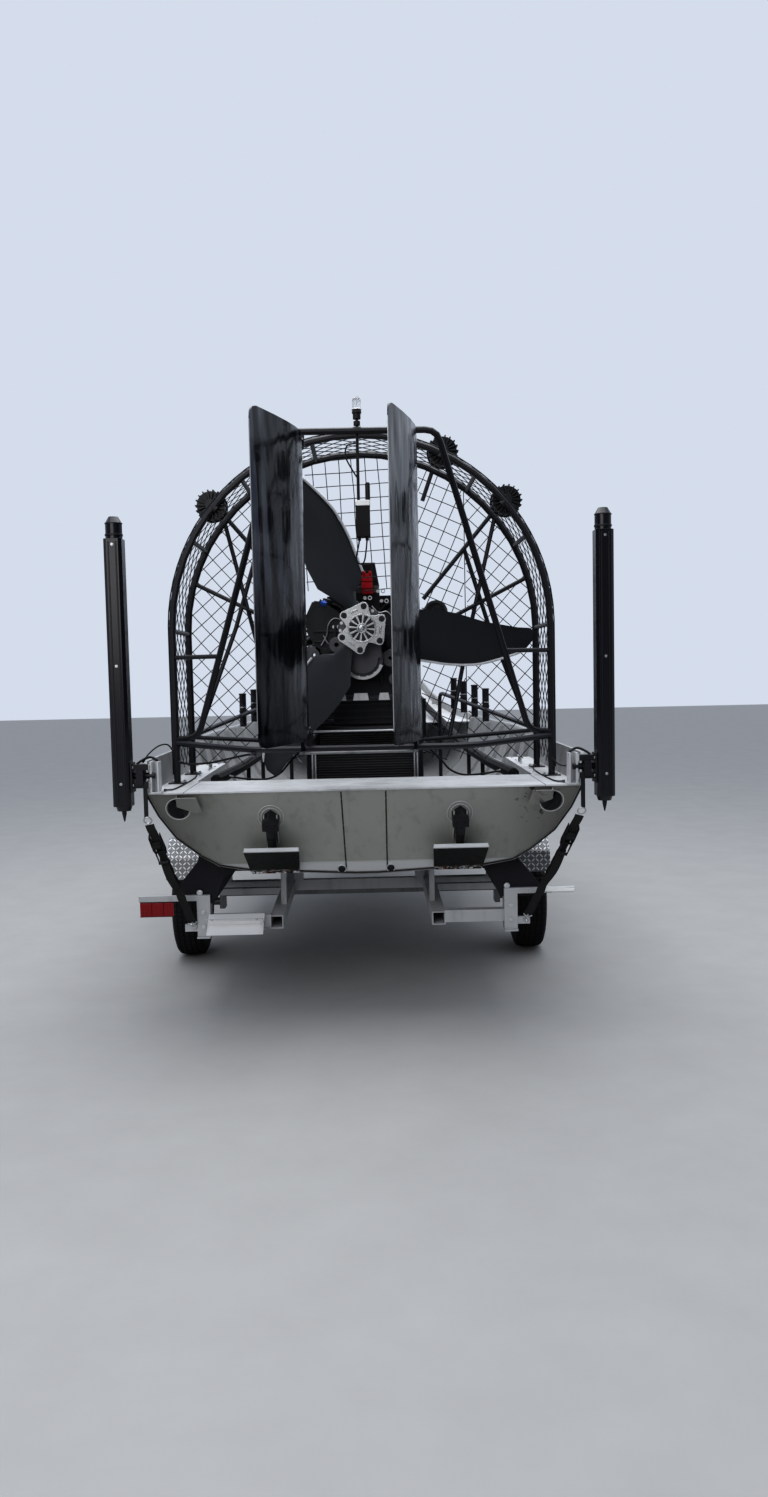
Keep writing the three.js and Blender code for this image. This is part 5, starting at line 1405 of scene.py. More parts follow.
    @staticmethod
    def pulleys():
        """Belt pulleys in front, a filter at each side and the engine's rear mounts."""
        dark = Shape()
        for x, z, radius in ((-0.155, 2.010, 0.046), (0.165, 1.925, 0.052), (0.185, 1.800, 0.034)):
            dark.lathe([(0.012, -0.09), (radius, -0.09), (radius, -0.055), (radius * 0.8, -0.05),
                        (radius * 0.8, -0.02), (radius, -0.015), (radius, 0.0), (0.012, 0.0)],
                       boat(x, 1.000, z), ASTERN)
        dark.block(0, 0.105, 1.222, 1.232, 2.330, 2.372)
        for side in (-1, 1):
            dark.lathe([(0.010, 0), (0.050, 0), (0.064, 0.014), (0.064, 0.100), (0.050, 0.115),
                        (0.010, 0.115)], boat(side * 0.296, 1.090, 1.955), AHEAD)
            dark.collar(boat(side * 0.296, 1.068, 1.955), AHEAD, 0.010, 0.036, 0.022, 20)
            for y in (1.28, 1.48):
                dark.block(side * 0.300, 0.028, y, y + 0.05, 1.690, 1.716)
        build(dark, "engine_pulleys", ["cast_metal"], soft_edge=0.0015)

    @staticmethod
    def clips_and_ribs():
        """Clips and thin lines on the engine's face, and the ribs of its front cover."""
        clips, ribs = Shape(), Shape()
        for x, z in ((-0.13, 2.30), (-0.06, 2.26), (0.10, 2.33), (0.12, 2.27), (0.02, 2.29), (-0.17, 2.12)):
            clips.bolt(boat(x, 1.088, z), ASTERN, 0.008)
            clips.collar(boat(x + 0.03, 1.100, z), ASTERN, 0.008, 0.013, 0.02, 14)
        for corners in (
            ((-0.235, 2.070), (-0.205, 2.020), (-0.165, 2.030), (-0.135, 2.085), (-0.105, 2.115)),
            ((-0.250, 2.010), (-0.215, 2.070), (-0.205, 2.130), (-0.170, 2.170), (-0.120, 2.160)),
            ((0.060, 2.240), (0.100, 2.200), (0.150, 2.205), (0.190, 2.160), (0.215, 2.090)),
        ):
            clips.tube(smooth_route([boat(x, 1.068, z) for x, z in corners], 20), 0.0035, 8)
        build(clips, "engine_clips", ["bright_metal"])
        for k in range(6):
            z = 1.780 + 0.062 * k
            ribs.block(0, 0.295 if z > 1.98 else 0.205, 1.074, 1.092, z, z + 0.010)
        for x in (-0.165, -0.110, 0.110, 0.165):
            ribs.block(x, 0.006, 1.070, 1.092, 1.760, 2.130)
            for z in (1.80, 1.95, 2.10):
                ribs.bolt(boat(x + 0.026, 1.086, z), ASTERN, 0.010)
        build(ribs, "engine_ribs", ["engine_casting"], soft_edge=0.0015)

    @staticmethod
    def headers():
        """Bent header pipes from each bank into its silencer, and the leads over the top."""
        pipes, leads = Shape(), Shape()
        for side in (-1, 1):
            for y in (1.155, 1.285, 1.455, 1.585):
                bends = ((0.300, 2.075), (0.360, 2.040), (0.430, 2.070), (0.448, 2.135))
                pipes.tube(smooth_route([boat(side * x, y, z) for x, z in bends], 12), 0.022, 12)
            for y in (1.125, 1.615):
                pipes.collar(boat(side * 0.448, y, 2.197), AHEAD, 0.060, 0.0735, 0.012, 28)
            for y in (1.18, 1.30, 1.42, 1.54):
                bends = ((0.10, y, 2.20), (0.14, y + 0.01, 2.245), (0.20, y, 2.262), (0.245, y, 2.215))
                leads.tube(smooth_route([boat(side * x, at, z) for x, at, z in bends], 10), 0.006, 8)
        build(pipes, "exhaust_headers", ["cast_metal"])
        build(leads, "plug_leads", ["rubber"])


class AIRBOAT_OT_lamps(bpy.types.Operator):
    """Finned backs and brackets of the spotlights on the cage"""

    bl_idname = "airboat.lamps"
    bl_label = "Spotlights"

    ANGLES = (40, 64, 116, 140)
    CENTRE_RADIUS = 1.055
    CENTRE_Y = 0.496
    # Two rows of fins: from and to outwards, from and to lengthwise, half thickness
    FINS = ((0.034, 0.086, 0.0, 0.060, 0.0034), (0.020, 0.072, -0.018, 0.006, 0.0026))

    def execute(self, context):
        count = context.scene.airboat_sizes.lamp_fins
        shape, glass = Shape(), Shape()
        for angle in self.ANGLES:
            centre = astern_view(self.CENTRE_RADIUS, angle, self.CENTRE_Y)
            for k in range(count):
                spin = Matrix.Rotation(2 * math.pi * k / count, 3, "Y")
                for x0, x1, y0, y1, half in self.FINS:
                    shape.box(off(centre, x0, y0, -half), off(centre, x1, y1, half), spin, centre)
            shape.lathe([(0.006, 0.0), (0.022, 0.0), (0.022, 0.022), (0.006, 0.026)], centre, ASTERN, 20)
            shape.collar(off(centre, y=0.078), AHEAD, 0.070, 0.084, 0.014, 32)
            glass.lathe([(0.004, 0.088), (0.071, 0.088), (0.069, 0.092), (0.004, 0.096)], centre, AHEAD, 32)
            shape.rod(*(astern_view(self.CENTRE_RADIUS - inward, angle, self.CENTRE_Y - 0.026)
                        for inward in (0.020, 0.045)), 0.020)
        build(shape, "lamp_fins", ["engine_casting"])
        build(glass, "lamp_glass", ["plate_white"])
        return {"FINISHED"}


class AIRBOAT_OT_mast(bpy.types.Operator):
    """The stern light on its mast, and the breather tank below it"""

    bl_idname = "airboat.mast"
    bl_label = "Light mast"

    def execute(self, context):
        y = MAST_Y
        black, bright, lens = Shape(), Shape(), Shape()
        black.tube([boat(0.0, y, z) for z in (2.700, 2.85, 3.0, 3.120)], [0.008, 0.008, 0.008, 0.007], 12)
        for z, radius, high in ((3.086, 0.017, 0.022), (3.118, 0.020, 0.030)):
            black.collar(boat(0, y, z), UP, 0.004, radius, high, 20)
        black.lathe([(0.004, 0), (0.024, 0), (0.024, 0.012), (0.018, 0.020), (0.004, 0.020)],
                    boat(0, y, 3.146), UP)
        black.rod(boat(-0.020, y - 0.016, 3.066), boat(0.020, y - 0.016, 3.066), 0.012)
        wire = ((-0.006, 0, 3.00), (-0.052, -0.01, 2.985), (-0.060, -0.01, 2.93), (-0.030, 0, 2.87),
                (-0.006, 0, 2.83))
        black.tube(smooth_route([boat(x, y + back, z) for x, back, z in wire], 20), 0.0042, 8)
        black.block(0.0205, 0.0365, y - 0.030, y + 0.030, 2.529, 2.683)
        black.lathe([(0.003, 0), (0.0125, 0), (0.0125, 0.084), (0.009, 0.092), (0.003, 0.092)],
                    boat(0.047, y, 2.711), UP, 18)
        for x in (0.0, 0.040):
            black.rod(boat(x, y, 2.531), boat(x, y, 2.512), 0.009)
        build(black, "mast_and_tank", ["black_plastic"], replaces=("light_mast",),
              soft_edge=0.003)
        bright.block(0.0205, 0.038, y - 0.0315, y + 0.0315, 2.683, 2.711)
        bright.collar(boat(0, y, 3.163), UP, 0.008, 0.0255, 0.006)
        build(bright, "tank_band", ["bright_metal"], soft_edge=0.002)
        lens.lathe([(0.002, 0), (0.021, 0), (0.0225, 0.010), (0.0225, 0.040), (0.018, 0.054),
                    (0.010, 0.0600), (0.002, 0.0600)], boat(0, y, 3.168), UP, 28)
        build(lens, "stern_light", ["clear_lens"])
        return {"FINISHED"}


class AIRBOAT_OT_rudders(bpy.types.Operator):
    """Hinge hardware and trailing edge caps of the rudders"""

    bl_idname = "airboat.rudders"
    bl_label = "Rudder fittings"

    REST = {"left": -15.2, "right": -11.5}
    HINGES = (1.545, 2.985)

    def execute(self, context):
        for name, side in SIDES:
            turn = Matrix.Rotation(math.radians(self.REST[name]), 3, "Z")
            pin = boat(side * 0.280, 0, 0)
            shape = Shape()
            for z in self.HINGES:
                for up in (-1, 1):
                    for back in (-0.046, -0.070):
                        shape.bolt(off(pin + turn @ Vector((0, back, 0)), z=z + up * 0.021), up * UP, 0.006)
                shape.rod(off(pin, z=z + 0.021), off(pin, z=z + 0.029), 0.012, 6)
            edge = pin + turn @ Vector((0, -0.7105, 0))
            shape.rod(off(edge, z=1.580), off(edge, z=2.958), 0.0022, 8)
            build(shape, f"rudder_hardware_{name}", ["bright_metal"], f"rudder_{name}")
        return {"FINISHED"}


class AIRBOAT_OT_anchors(bpy.types.Operator):
    """Bands, rails and brackets' hardware of the stern anchors"""

    bl_idname = "airboat.anchors"
    bl_label = "Anchor fittings"

    COLUMN = (1.220, -0.030)
    PUMP = (-0.022, 1.345)

    def execute(self, context):
        bright, dark = Shape(), Shape()
        for side in (-1, 1):
            x, y = side * self.COLUMN[0], self.COLUMN[1]
            for dx in (-0.0185, 0.0185):
                dark.block(x + dx, 0.0035, y - 0.0548, y - 0.0515, 1.215, 2.515)
            for z in (1.31, 1.90, 2.50):
                bright.bolt(boat(x, y - 0.0525, z), ASTERN, 0.0055)
            dark.collar(boat(x, y, 2.545), UP, 0.028, 0.0445, 0.010, 28)
            dark.collar(boat(x, y, 2.604), UP, 0.028, 0.0435, 0.006, 28)
            for z in (1.300, 1.390):
                for near in (-0.052, -0.012):
                    bright.bolt(boat(side * 1.1625, near, z), (-side, 0, 0), 0.008)
            for z in (1.285, 1.335, 1.385):
                bright.bolt(boat(side * 1.0615, 0.0405, z), AHEAD, 0.0065)
            for foot in (1.050, 1.072):
                bright.bolt(boat(side * foot, 0.052, DECK_Z + 0.009), UP, 0.0055)
            dark.rod(boat(side * 1.060, *self.PUMP), boat(side * 1.175, *self.PUMP), 0.016, 14)
            dark.collar(boat(side * 1.108, *self.PUMP), (side, 0, 0), 0.008, 0.030, 0.030, 20)
            dark.block(side * 1.130, 0.018, -0.070, -0.018, 1.300, 1.375)
            dark.rod(boat(side * 1.108, -0.039, 1.290), boat(side * 1.130, -0.045, 1.335), 0.012)
        build(bright, "anchor_bolts", ["bright_metal"])
        build(dark, "anchor_trim", ["black_paint"], soft_edge=0.001)
        return {"FINISHED"}


class AIRBOAT_OT_straps(bpy.types.Operator):
    """Ratchet straps that hold the boat to its trailer"""

    bl_idname = "airboat.straps"
    bl_label = "Ratchet straps"

    TOP = (1.107, -0.039, 1.130)
    LOW = {"left": (-0.945, 0.339, 0.472), "right": (0.858, 0.339, 0.472)}
    THICK = 0.0015  # half of the webbing's thickness
    # Side plate and handle of the ratchet: share of the strap's length, lift off it
    SIDE_PLATE = ((0.14, -0.010), (0.27, -0.010), (0.30, 0.008), (0.25, 0.026), (0.15, 0.018))
    HANDLE = ((0.20, 0.006), (0.36, 0.022), (0.36, 0.030), (0.20, 0.026))

    def execute(self, context):
        for name, side in SIDES:
            start, end = boat(side * self.TOP[0], *self.TOP[1:]), boat(*self.LOW[name])
            along = (end - start).normalized()
            across = (Vector((1, 0, 0)) - along * along.x).normalized()
            out = across.cross(along).normalized()
            if out.y > 0:
                out = -out

            def at(share, u=0.0, v=0.0):
                return start.lerp(end, share) + across * u + out * v

            shape, hooks = Shape(), Shape()
            self.webbing(shape, at)
            self.ratchet(shape, at)
            hooks.tube(circle(at(0.018), 0.020, across, along, 24), 0.0042, 8, loop=True)
            bend = [at(0.940), at(0.966), at(0.985, 0.014), at(1.0, 0.004), at(0.992, -0.012)]
            hooks.tube(smooth_route(bend, 16), 0.0055, 8)
            hooks.tube([at(0.945, -0.024), at(0.958, -0.012), at(0.958, 0.012), at(0.945, 0.024)], 0.0042, 8)
            build(hooks, f"strap_hooks_{name}", ["bright_metal"])
            build(shape, f"strap_webbing_{name}", ["webbing", "black_paint"],
                  replaces=(f"strap_{name}",))
        return {"FINISHED"}

    def webbing(self, shape, at):
        """The taut strap, a little curled and rippled, and the loose end that lies on it."""
        rows = []
        for i in range(41):
            share = 0.055 + 0.905 * i / 40
            half = 0.0235 - 0.004 * math.sin(math.pi * i / 40) * (0.5 + 0.5 * math.sin(i * 1.7))
            ripple = 0.003 * math.sin(i * 1.1)
            rows.append((share, half, ripple - self.THICK))
        shape.skin([self.flat(at, *row) for row in rows])
        loose = [(0.34 + 0.27 * i / 16, 0.022, 0.006 + 0.022 * math.sin(math.pi * i / 16)) for i in range(17)]
        shape.skin([self.flat(at, *row) for row in loose])

    def flat(self, at, share, half, lift):
        """The section of the webbing at a place along the strap."""
        high = lift + 2 * self.THICK
        return [at(share, -half, lift), at(share, half, lift), at(share, half, high), at(share, -half, high)]

    def ratchet(self, shape, at):
        """The ratchet's frame, handle and spool in the strap's upper third."""
        shape.finish = 1
        push = at(0, 0.0036) - at(0)
        for u in (-0.0285, 0.0285):
            shape.prism([at(share, u - 0.0018, lift) for share, lift in self.SIDE_PLATE], push)
            shape.prism([at(share, u * 0.86, lift) for share, lift in self.HANDLE], push)
        pins = [(0.22, 0.031, 0.012, 0.012, 16), (0.285, 0.026, 0.004, 0.006, 10),
                (0.355, 0.026, 0.026, 0.009, 12)]
        turns = [(share, 0.021, lift, 0.009, 10) for share, lift in (
            (0.205, 0.014), (0.22, 0.024), (0.235, 0.014), (0.22, 0.002))]
        for finish, rods in ((1, pins), (0, turns)):
            shape.finish = finish
            for share, half, lift, radius, sides in rods:
                shape.rod(at(share, -half, lift), at(share, half, lift), radius, sides)


class AIRBOAT_OT_trailer(bpy.types.Operator):
    """Plate holder, tail lamp, bolts and welds of the trailer"""

    bl_idname = "airboat.trailer"
    bl_label = "Trailer fittings"

    PLATE_TILT = math.radians(55)
    BAR_END = ((0.968, 0.318, 0.634), (1.118, 0.318, 0.634), (1.132, 0.332, 0.644), (0.968, 0.332, 0.660))

    def execute(self, context):
        self.plate()
        self.tail_lamp()
        bolts, welds, bare = Shape(), Shape(), Shape()
        for side in (-1, 1):
            for z in (0.480, 0.560):
                bolts.bolt(trailer(side * 0.838, 0.329, z), ASTERN, 0.008)
            bolts.bolt(trailer(side * 0.838 - 0.020, 0.345, 0.665), ASTERN, 0.012)
            for y in (1.42, 2.40, 3.30, 4.20):
                for dy in (-0.02, 0.02):
                    bolts.bolt(trailer(side * 0.4815, y + dy, 0.492), (side, 0, 0), 0.008)
            for edge in (0.4090, 0.4810):
                welds.bead(trailer(side * edge, 0.372, 0.456), trailer(side * edge, 0.372, 0.524), 0.004,
                           ASTERN)
            for z in (0.466, 0.520):
                welds.bead(trailer(side * 0.481, 1.385, z), trailer(side * 0.790, 1.385, z), 0.0035, ASTERN)
        build(bolts, "trailer_bolts", ["bright_metal"])
        build(welds, "trailer_welds", ["sheet_aluminium"])
        # The bare end is white, partly as a painted highlight of its top lit by the sky
        bare.prism([boat(*corner) for corner in self.BAR_END], (0, 0.004, 0))
        bare.block(1.048, 0.080, 0.320, 0.378, 0.6305, 0.6345)
        build(bare, "bare_lamp_bar", ["white_paint"])
        return {"FINISHED"}

    def plate(self):
        """A thin bright frame, a raised blank panel and four screws on the tilted plate."""
        low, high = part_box("number_plate")
        sine, cosine = math.sin(self.PLATE_TILT), math.cos(self.PLATE_TILT)
        down, face = Vector((0, sine, -cosine)), Vector((0, -cosine, -sine))
        top = Vector(((low.x + high.x) / 2, low.y, high.z))
        wide = 0.1525

        def on_plate(u, v, out):
            return off(top, u) + down * v + face * out

        rim, panel = Shape(), Shape()
        rim.tube([on_plate(u, v, 0.001) for u, v in ((-wide, 0), (wide, 0), (wide, 0.152), (-wide, 0.152))],
                 0.0028, 6, loop=True)
        for u in (-0.12, 0.12):
            for v in (0.014, 0.138):
                rim.bolt(on_plate(u, v, 0.0008), face, 0.005)
        build(rim, "plate_rim", ["bright_metal"])
        half = wide * 0.90
        panel.prism([on_plate(u, v, 0.0004) for u, v in (
            (-half, 0.030), (half, 0.030), (half, 0.122), (-half, 0.122))], face * 0.0016)
        build(panel, "plate_panel", ["plate_white"], soft_edge=0.0012)

    @staticmethod
    def tail_lamp():
        """A red lens in three parts with fine ribs, in a black housing."""
        low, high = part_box("tail_lamp")
        house, lens = Shape(), Shape()
        house.box(off(low, 0.002, 0.012, 0.002), off(high, -0.002, 0.0, -0.001))
        for z in (low.z, high.z - 0.004):
            house.box(Vector((low.x, low.y + 0.004, z)), Vector((high.x, low.y + 0.016, z + 0.004)))
        build(house, "lamp_housing", ["black_plastic"], soft_edge=0.002)
        left, width = low.x + 0.003, high.x - low.x - 0.006
        for first, last in ((0.0, 0.34), (0.355, 0.69), (0.705, 1.0)):
            x0, x1 = left + first * width, left + last * width
            lens.box((x0, low.y, low.z + 0.005), (x1, low.y + 0.014, high.z - 0.005))
            ribs = int((x1 - x0) / 0.0085)
            for k in range(1, ribs):
                x = x0 + (x1 - x0) * k / ribs
                lens.rod((x, low.y, low.z + 0.009), (x, low.y, high.z - 0.009), 0.0022, 6)
        build(lens, "tail_lens", ["red_lens"], replaces=("tail_lamp",), soft_edge=0.0015)


class AIRBOAT_OT_wheels(bpy.types.Operator):
    """Tyres with their tread, and spoked rims"""

    bl_idname = "airboat.wheels"
    bl_label = "Wheels"

    # Section of a tyre from one bead to its middle: radius, across, 1 where the tread is cut
    TYRE = ((0.184, 0.074, 0), (0.196, 0.086, 0), (0.222, 0.092, 0), (0.262, 0.0945, 0), (0.300, 0.092, 0),
            (0.322, 0.085, 1), (0.336, 0.074, 1), (0.3405, 0.056, 1), (0.3345, 0.054, 0), (0.3345, 0.047, 0),
            (0.3425, 0.045, 1), (0.343, 0.024, 1), (0.3365, 0.022, 0), (0.3365, 0.015, 0), (0.343, 0.013, 1))
    RIM = ((0.186, 0.078), (0.192, 0.080), (0.192, 0.072), (0.180, 0.066), (0.168, 0.040), (0.165, -0.060),
           (0.184, -0.072), (0.192, -0.080), (0.178, -0.078), (0.158, -0.060), (0.160, 0.040), (0.172, 0.062))
    DISC = ((0.010, 0.026), (0.075, 0.022), (0.080, 0.016), (0.080, 0.006), (0.010, 0.004))
    HUB_CAP = ((0.004, 0.020), (0.033, 0.020), (0.033, 0.052), (0.024, 0.060), (0.004, 0.061))
    SPOKE = ((-0.024, 0.070), (0.024, 0.070), (0.034, 0.162), (-0.034, 0.162))

    def execute(self, context):
        sizes = context.scene.airboat_sizes
        for name, side in SIDES:
            low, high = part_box(f"wheel_{name}")
            centre = (low + high) / 2
            self.tyre(name, centre, sizes.lugs, sizes.tread_depth)
            self.rim(name, centre, Vector((side, 0, 0)))
        return {"FINISHED"}

    def tyre(self, name, centre, lugs, depth):
        """A tyre with a groove across its tread before each lug."""
        section = [*self.TYRE, *((r, -a, cut) for r, a, cut in reversed(self.TYRE))]
        rings = []
        for i in range(lugs * 3):
            t = 2 * math.pi * i / (lugs * 3)
            out = Vector((0, math.cos(t), math.sin(t)))
            groove = 0 if i % 3 else depth
            rings.append([off(centre + out * (r - groove * cut), a) for r, a, cut in section])
        shape = Shape()
        shape.skin(rings, loop=True)
        build(shape, f"tyre_{name}", ["tyre_rubber"], f"wheel_{name}",
              replaces=(f"wheel_{name}",), smooth=30)

    def rim(self, name, centre, out):
        """A rim with eight spokes, a hub cap and five nuts."""
        shape = Shape()
        shape.lathe(self.RIM, centre, out, 48)
        shape.lathe(self.DISC, centre, out, 36)
        for k in range(8):
            turn = Matrix.Rotation(2 * math.pi * k / 8, 3, "X")
            shape.prism([centre + out * 0.008 + turn @ Vector((0.0, y, z)) for y, z in self.SPOKE],
                        out * 0.012)
        shape.lathe(self.HUB_CAP, centre, out, 28)
        for k in range(5):
            t = 2 * math.pi * k / 5
            nut = off(centre + out * 0.024, 0, 0.057 * math.cos(t), 0.057 * math.sin(t))
            shape.rod(nut, nut + out * 0.018, 0.0105, 6, 0.009)
        build(shape, f"rim_{name}", ["polished_aluminium"], f"wheel_{name}", smooth=30)


class AIRBOAT_OT_seats(bpy.types.Operator):
    """Padded seats with their seams, piping and legs"""

    bl_idname = "airboat.seats"
    bl_label = "Seats"

    # Each seat: ahead of the transom, height of its pan, height of its back, half width
    SEATS = {"driver": (1.990, 1.760, 0.630, 0.245), "passenger": (2.800, 1.210, 0.460, 0.470)}
    LEAN = Matrix.Rotation(math.radians(12.5), 3, "X")  # of the backs
    FLOOR_Z = 0.851

    def execute(self, context):
        for name, (y, z, back, half) in self.SEATS.items():
            pad = self.cushion(f"{name}_seat_pad", (-half, y + 0.035, z + 0.014),
                               (half, y + 0.478, z + 0.092), context)
            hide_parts(f"{name}_seat")
            rise = self.cushion(f"{name}_seat_back", (-half, y - 0.040, z + 0.110),
                                (half, y + 0.036, z + back), context, hinge=boat(0, y, z + 0.10))
            self.shell(name, y, z, back, half)
        self.bench_legs()
        return {"FINISHED"}

    def cushion(self, name, low, high, context, hinge=None):
        """A box cushion: remeshed, blown up a little as cloth, then set in place."""
        sizes = context.scene.airboat_sizes
        swell = sizes.seat_swell
        inset = Vector((1, 1, 1)) * swell * 0.7
        low, high = boat(*low) + inset, boat(*high) - inset
        shape = Shape()
        shape.box(low, high)
        bmesh.ops.bevel(shape.mesh, geom=list(shape.mesh.edges), offset=0.022, segments=4, profile=0.6,
                        affect="EDGES")
        if hinge is not None:
            for vert in shape.mesh.verts:
                vert.co = hinge + self.LEAN @ (vert.co - hinge)
        made = build(shape, name, ["seat_vinyl"], smooth=180)
        made.parent = None
        remesh = made.modifiers.new("Remesh", "REMESH")
        remesh.mode, remesh.voxel_size = "VOXEL", sizes.seat_voxel * 1.0
        self.apply(made, context)
        self.inflate(made, swell, context)
        self.seam(made, low, high)
        for polygon in made.data.polygons:
            polygon.use_smooth = True
        subdivide = made.modifiers.new("Smooth cover", "SUBSURF")
        subdivide.levels = subdivide.render_levels = 1
        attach(made, HULL)
        return made

    @staticmethod
    def apply(made, context):
        """Leaves the mesh as its modifiers show it."""
        graph = context.evaluated_depsgraph_get()
        shown = bpy.data.meshes.new_from_object(made.evaluated_get(graph))
        made.modifiers.clear()
        made.data = shown

    def inflate(self, made, swell, context):
        """Blows the cushion up as cloth, no point of it further than the most that it may swell."""
        rest = [v.co.copy() for v in made.data.vertices]
        cloth = made.modifiers.new("Cloth", "CLOTH")
        cloth.settings.use_pressure = True
        cloth.settings.uniform_pressure_force = 4
        cloth.settings.effector_weights.gravity = 0
        for step in range(1, 21):
            context.scene.frame_set(step)
        self.apply(made, context)
        for vert, old in zip(made.data.vertices, rest):
            moved = vert.co - old
            if moved.length > swell:
                vert.co = old + moved * (swell / moved.length)
        context.scene.frame_set(1)

    @staticmethod
    def seam(made, low, high):
        """Sewn channels across the cushion, pressed in by a few millimetres."""
        reach, depth = 0.016, 0.007
        shares = (0.28, 0.72) if high.x < 0.3 else (0.25, 0.5, 0.75)
        lines = [low.x + (high.x - low.x) * share for share in shares]
        middle = (low + high) / 2
        for vert in made.data.vertices:
            beside = min(abs(vert.co.x - x) for x in lines)
            toward = middle - vert.co
            toward.x = 0
            if beside < reach and toward.length > 0.02:
                vert.co += toward.normalized() * depth * (0.5 + 0.5 * math.cos(math.pi * beside / reach))

    def shell(self, name, y, z, back, half):
        """The moulded pan under the cushion and the sheet behind the backrest, with piping."""
        shape, piping = Shape(), Shape()
        shape.block(0, half - 0.006, y + 0.005, y + 0.466, z, z + 0.014)
        shape.box(boat(-half + 0.010, y - 0.062, z + 0.075), boat(half - 0.010, y - 0.052, z + back - 0.012),
                  self.LEAN, boat(0, y, z + 0.10))
        for x in (-half * 0.6, half * 0.6):
            shape.block(x, 0.02, y - 0.045, y - 0.030, z + 0.004, z + 0.16)
        build(shape, f"{name}_seat_shell", ["black_plastic"], soft_edge=0.004)
        wide = half - 0.004
        piping.tube([boat(x, y + far, z + 0.052) for x, far in (
            (-wide, 0.040), (wide, 0.040), (wide, 0.474), (-wide, 0.474))], 0.004, 8, loop=True)
        build(piping, f"{name}_seat_piping", ["rubber"])

    def bench_legs(self):
        """Folded sheet legs under the bench."""
        shape = Shape()
        foot, seat = self.FLOOR_Z, 1.210
        for side in (-1, 1):
            x = side * 0.400
            for wall in (-0.018, 0.018):
                shape.block(x + wall, 0.002, 2.850, 3.220, foot, seat)
            for y in (2.850, 3.216):
                shape.block(x, 0.020, y, y + 0.004, foot, seat)
            shape.block(x, 0.035, 2.840, 3.230, foot, foot + 0.005)
            for y in (2.87, 3.20):
                shape.bolt(boat(x + side * 0.028, y, foot + 0.006), UP, 0.006)
        shape.rod(boat(-0.400, 2.880, 1.02), boat(0.400, 2.880, 1.02), 0.014)
        build(shape, "bench_legs", ["sheet_aluminium"], soft_edge=0.001)


class AIRBOAT_OT_rails(bpy.types.Operator):
    """Rod holders' rims and clamps, the rudder stick's grip and the pedal"""

    bl_idname = "airboat.rails"
    bl_label = "Rails and controls"

    # The starboard rail's ends, and where its holders stand as shares of it
    START = Vector((1.001, 1.048, 1.497))
    END = Vector((0.560, 2.620, 1.680))
    HOLDERS = (0.484, 0.609, 0.740, 0.863)

    def execute(self, context):
        shape, bright = Shape(), Shape()
        for side in (-1, 1):
            for share in self.HOLDERS:
                x, y, z = self.START.lerp(self.END, share)
                top = boat(side * (x + 0.030), y, z + 0.1255)
                shape.lathe([(0.012, -0.001), (0.0255, -0.001), (0.0265, 0.004), (0.020, 0.007),
                             (0.012, 0.007)], top, UP)
                shape.collar(off(top, z=-0.12), UP, 0.010, 0.0255, 0.014)
                bright.collar(off(top, z=-0.09), UP, 0.0232, 0.0245, 0.008)
        grip = [boat(-0.330, 2.407 - 0.004 * k, 2.045 + 0.021 * k) for k in range(6)]
        shape.tube(grip, [0.019, 0.021, 0.019, 0.021, 0.019, 0.017], 14)
        pedal = boat(0.150, 2.560, 1.300)
        shape.box(off(pedal, -0.045, -0.012, 0.0), off(pedal, 0.045, 0.0, 0.14),
                  Matrix.Rotation(math.radians(-28), 3, "X"), pedal)
        build(shape, "rail_fittings", ["black_plastic"], soft_edge=0.001)
        build(bright, "rail_clamps", ["bright_metal"])
        return {"FINISHED"}


class AIRBOAT_OT_tongue(bpy.types.Operator):
    """Winch with its crank, and the jack's clamps and handle, at the trailer's front"""

    bl_idname = "airboat.tongue"
    bl_label = "Winch and tongue"

    CRANK = ((0.075, 0, 0), (0.105, 0, 0), (0.112, 0.06, 0.09), (0.112, 0.10, 0.16))
    JACK_HANDLE = ((0.02, 0, 0.958), (0.07, 0, 0.958), (0.15, 0, 0.955), (0.155, 0, 0.925))

    def execute(self, context):
        across = Vector((1, 0, 0))
        steel, grips = Shape(), Shape()
        drum = trailer(0, 5.390, 1.330)
        steel.rod(off(drum, -0.06), off(drum, 0.06), 0.030, 20)
        for x in (-0.064, 0.058):
            steel.collar(off(drum, x), across, 0.012, 0.052, 0.006, 28)
        for x in (-0.078, 0.074):
            steel.box(off(drum, x, -0.05, -0.05), off(drum, x + 0.004, 0.05, 0.055))
        steel.tube([off(drum, *corner) for corner in self.CRANK], 0.008)
        low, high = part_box("jack_leg")
        jack = Vector(((low.x + high.x) / 2, (low.y + high.y) / 2, 0))
        for z in (0.700, 0.930):
            steel.collar(off(jack, z=z), UP, 0.031, 0.041, 0.014)
        steel.tube([off(jack, *corner) for corner in self.JACK_HANDLE], 0.007)
        build(steel, "tongue_steel", ["galvanised_steel"], soft_edge=0.001)
        grips.rod(off(drum, *self.CRANK[-1]), off(drum, 0.200, 0.10, 0.16), 0.014, 14)
        grips.rod(off(jack, 0.155, 0, 0.935), off(jack, 0.155, 0, 0.868), 0.013, 14)
        for k in range(12):
            grips.collar(off(drum, -0.057 + 0.0096 * k), across, 0.031, 0.034 + 0.004 * (k % 2), 0.0095)
        build(grips, "tongue_grips", ["rubber"])
        return {"FINISHED"}


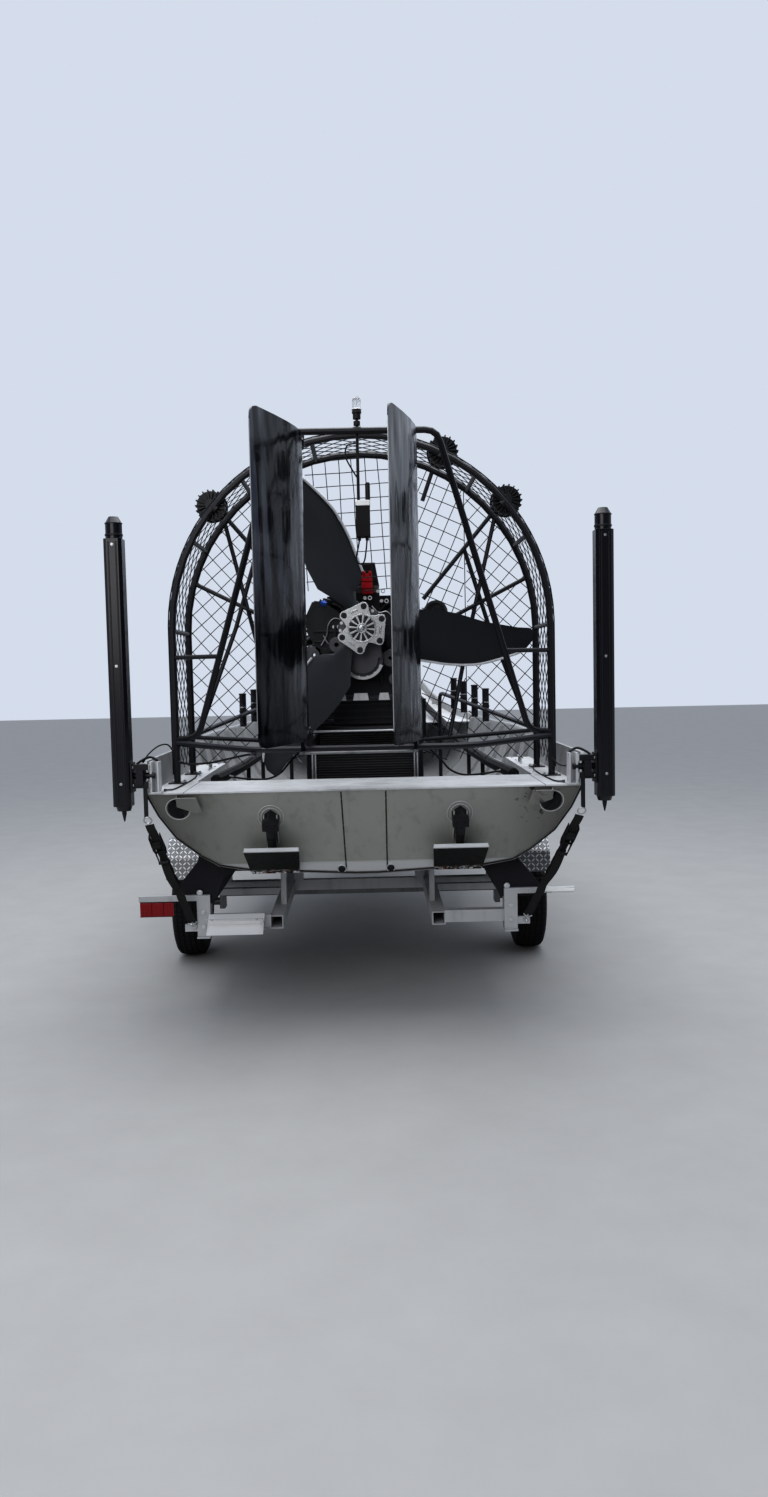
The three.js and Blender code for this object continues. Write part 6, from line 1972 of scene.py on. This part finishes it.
STEPS = (
    AIRBOAT_OT_stage, AIRBOAT_OT_finishes, AIRBOAT_OT_hoses, AIRBOAT_OT_transom, AIRBOAT_OT_boots,
    AIRBOAT_OT_decks, AIRBOAT_OT_hull, AIRBOAT_OT_net, AIRBOAT_OT_propeller, AIRBOAT_OT_engine,
    AIRBOAT_OT_lamps, AIRBOAT_OT_mast, AIRBOAT_OT_rudders, AIRBOAT_OT_anchors, AIRBOAT_OT_straps,
    AIRBOAT_OT_trailer, AIRBOAT_OT_wheels, AIRBOAT_OT_seats, AIRBOAT_OT_rails, AIRBOAT_OT_tongue,
)
GROUPS = {"airboat_stage": AirboatStage, "airboat_colours": AirboatColours, "airboat_sizes": AirboatSizes}


class AIRBOAT_PT_pieces(bpy.types.Panel):
    """The steps in the order in which they are built"""

    bl_idname = "AIRBOAT_PT_pieces"
    bl_label = "Airboat on Trailer"
    bl_space_type = "VIEW_3D"
    bl_region_type = "UI"
    bl_category = "Airboat"

    def draw(self, context):
        for step in STEPS:
            self.layout.operator(step.bl_idname)
        for name in GROUPS:
            settings = getattr(context.scene, name)
            box = self.layout.box()
            for field in settings.bl_rna.properties:
                if not field.is_readonly and field.identifier != "name":
                    box.prop(settings, field.identifier)


def register():
    for group in GROUPS.values():
        bpy.utils.register_class(group)
    for name, group in GROUPS.items():
        setattr(bpy.types.Scene, name, PointerProperty(type=group))
    for step in STEPS:
        bpy.utils.register_class(step)
    bpy.utils.register_class(AIRBOAT_PT_pieces)


def unregister():
    bpy.utils.unregister_class(AIRBOAT_PT_pieces)
    for step in reversed(STEPS):
        bpy.utils.unregister_class(step)
    for name, group in reversed(GROUPS.items()):
        delattr(bpy.types.Scene, name)
        bpy.utils.unregister_class(group)


def main():
    """Builds every piece in order."""
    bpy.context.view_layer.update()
    register()
    for step in STEPS:
        group, operator = step.bl_idname.split(".")
        if getattr(getattr(bpy.ops, group), operator)() != {"FINISHED"}:
            raise RuntimeError(f"{step.bl_label} could not be built")


if __name__ == "__main__":
    main()
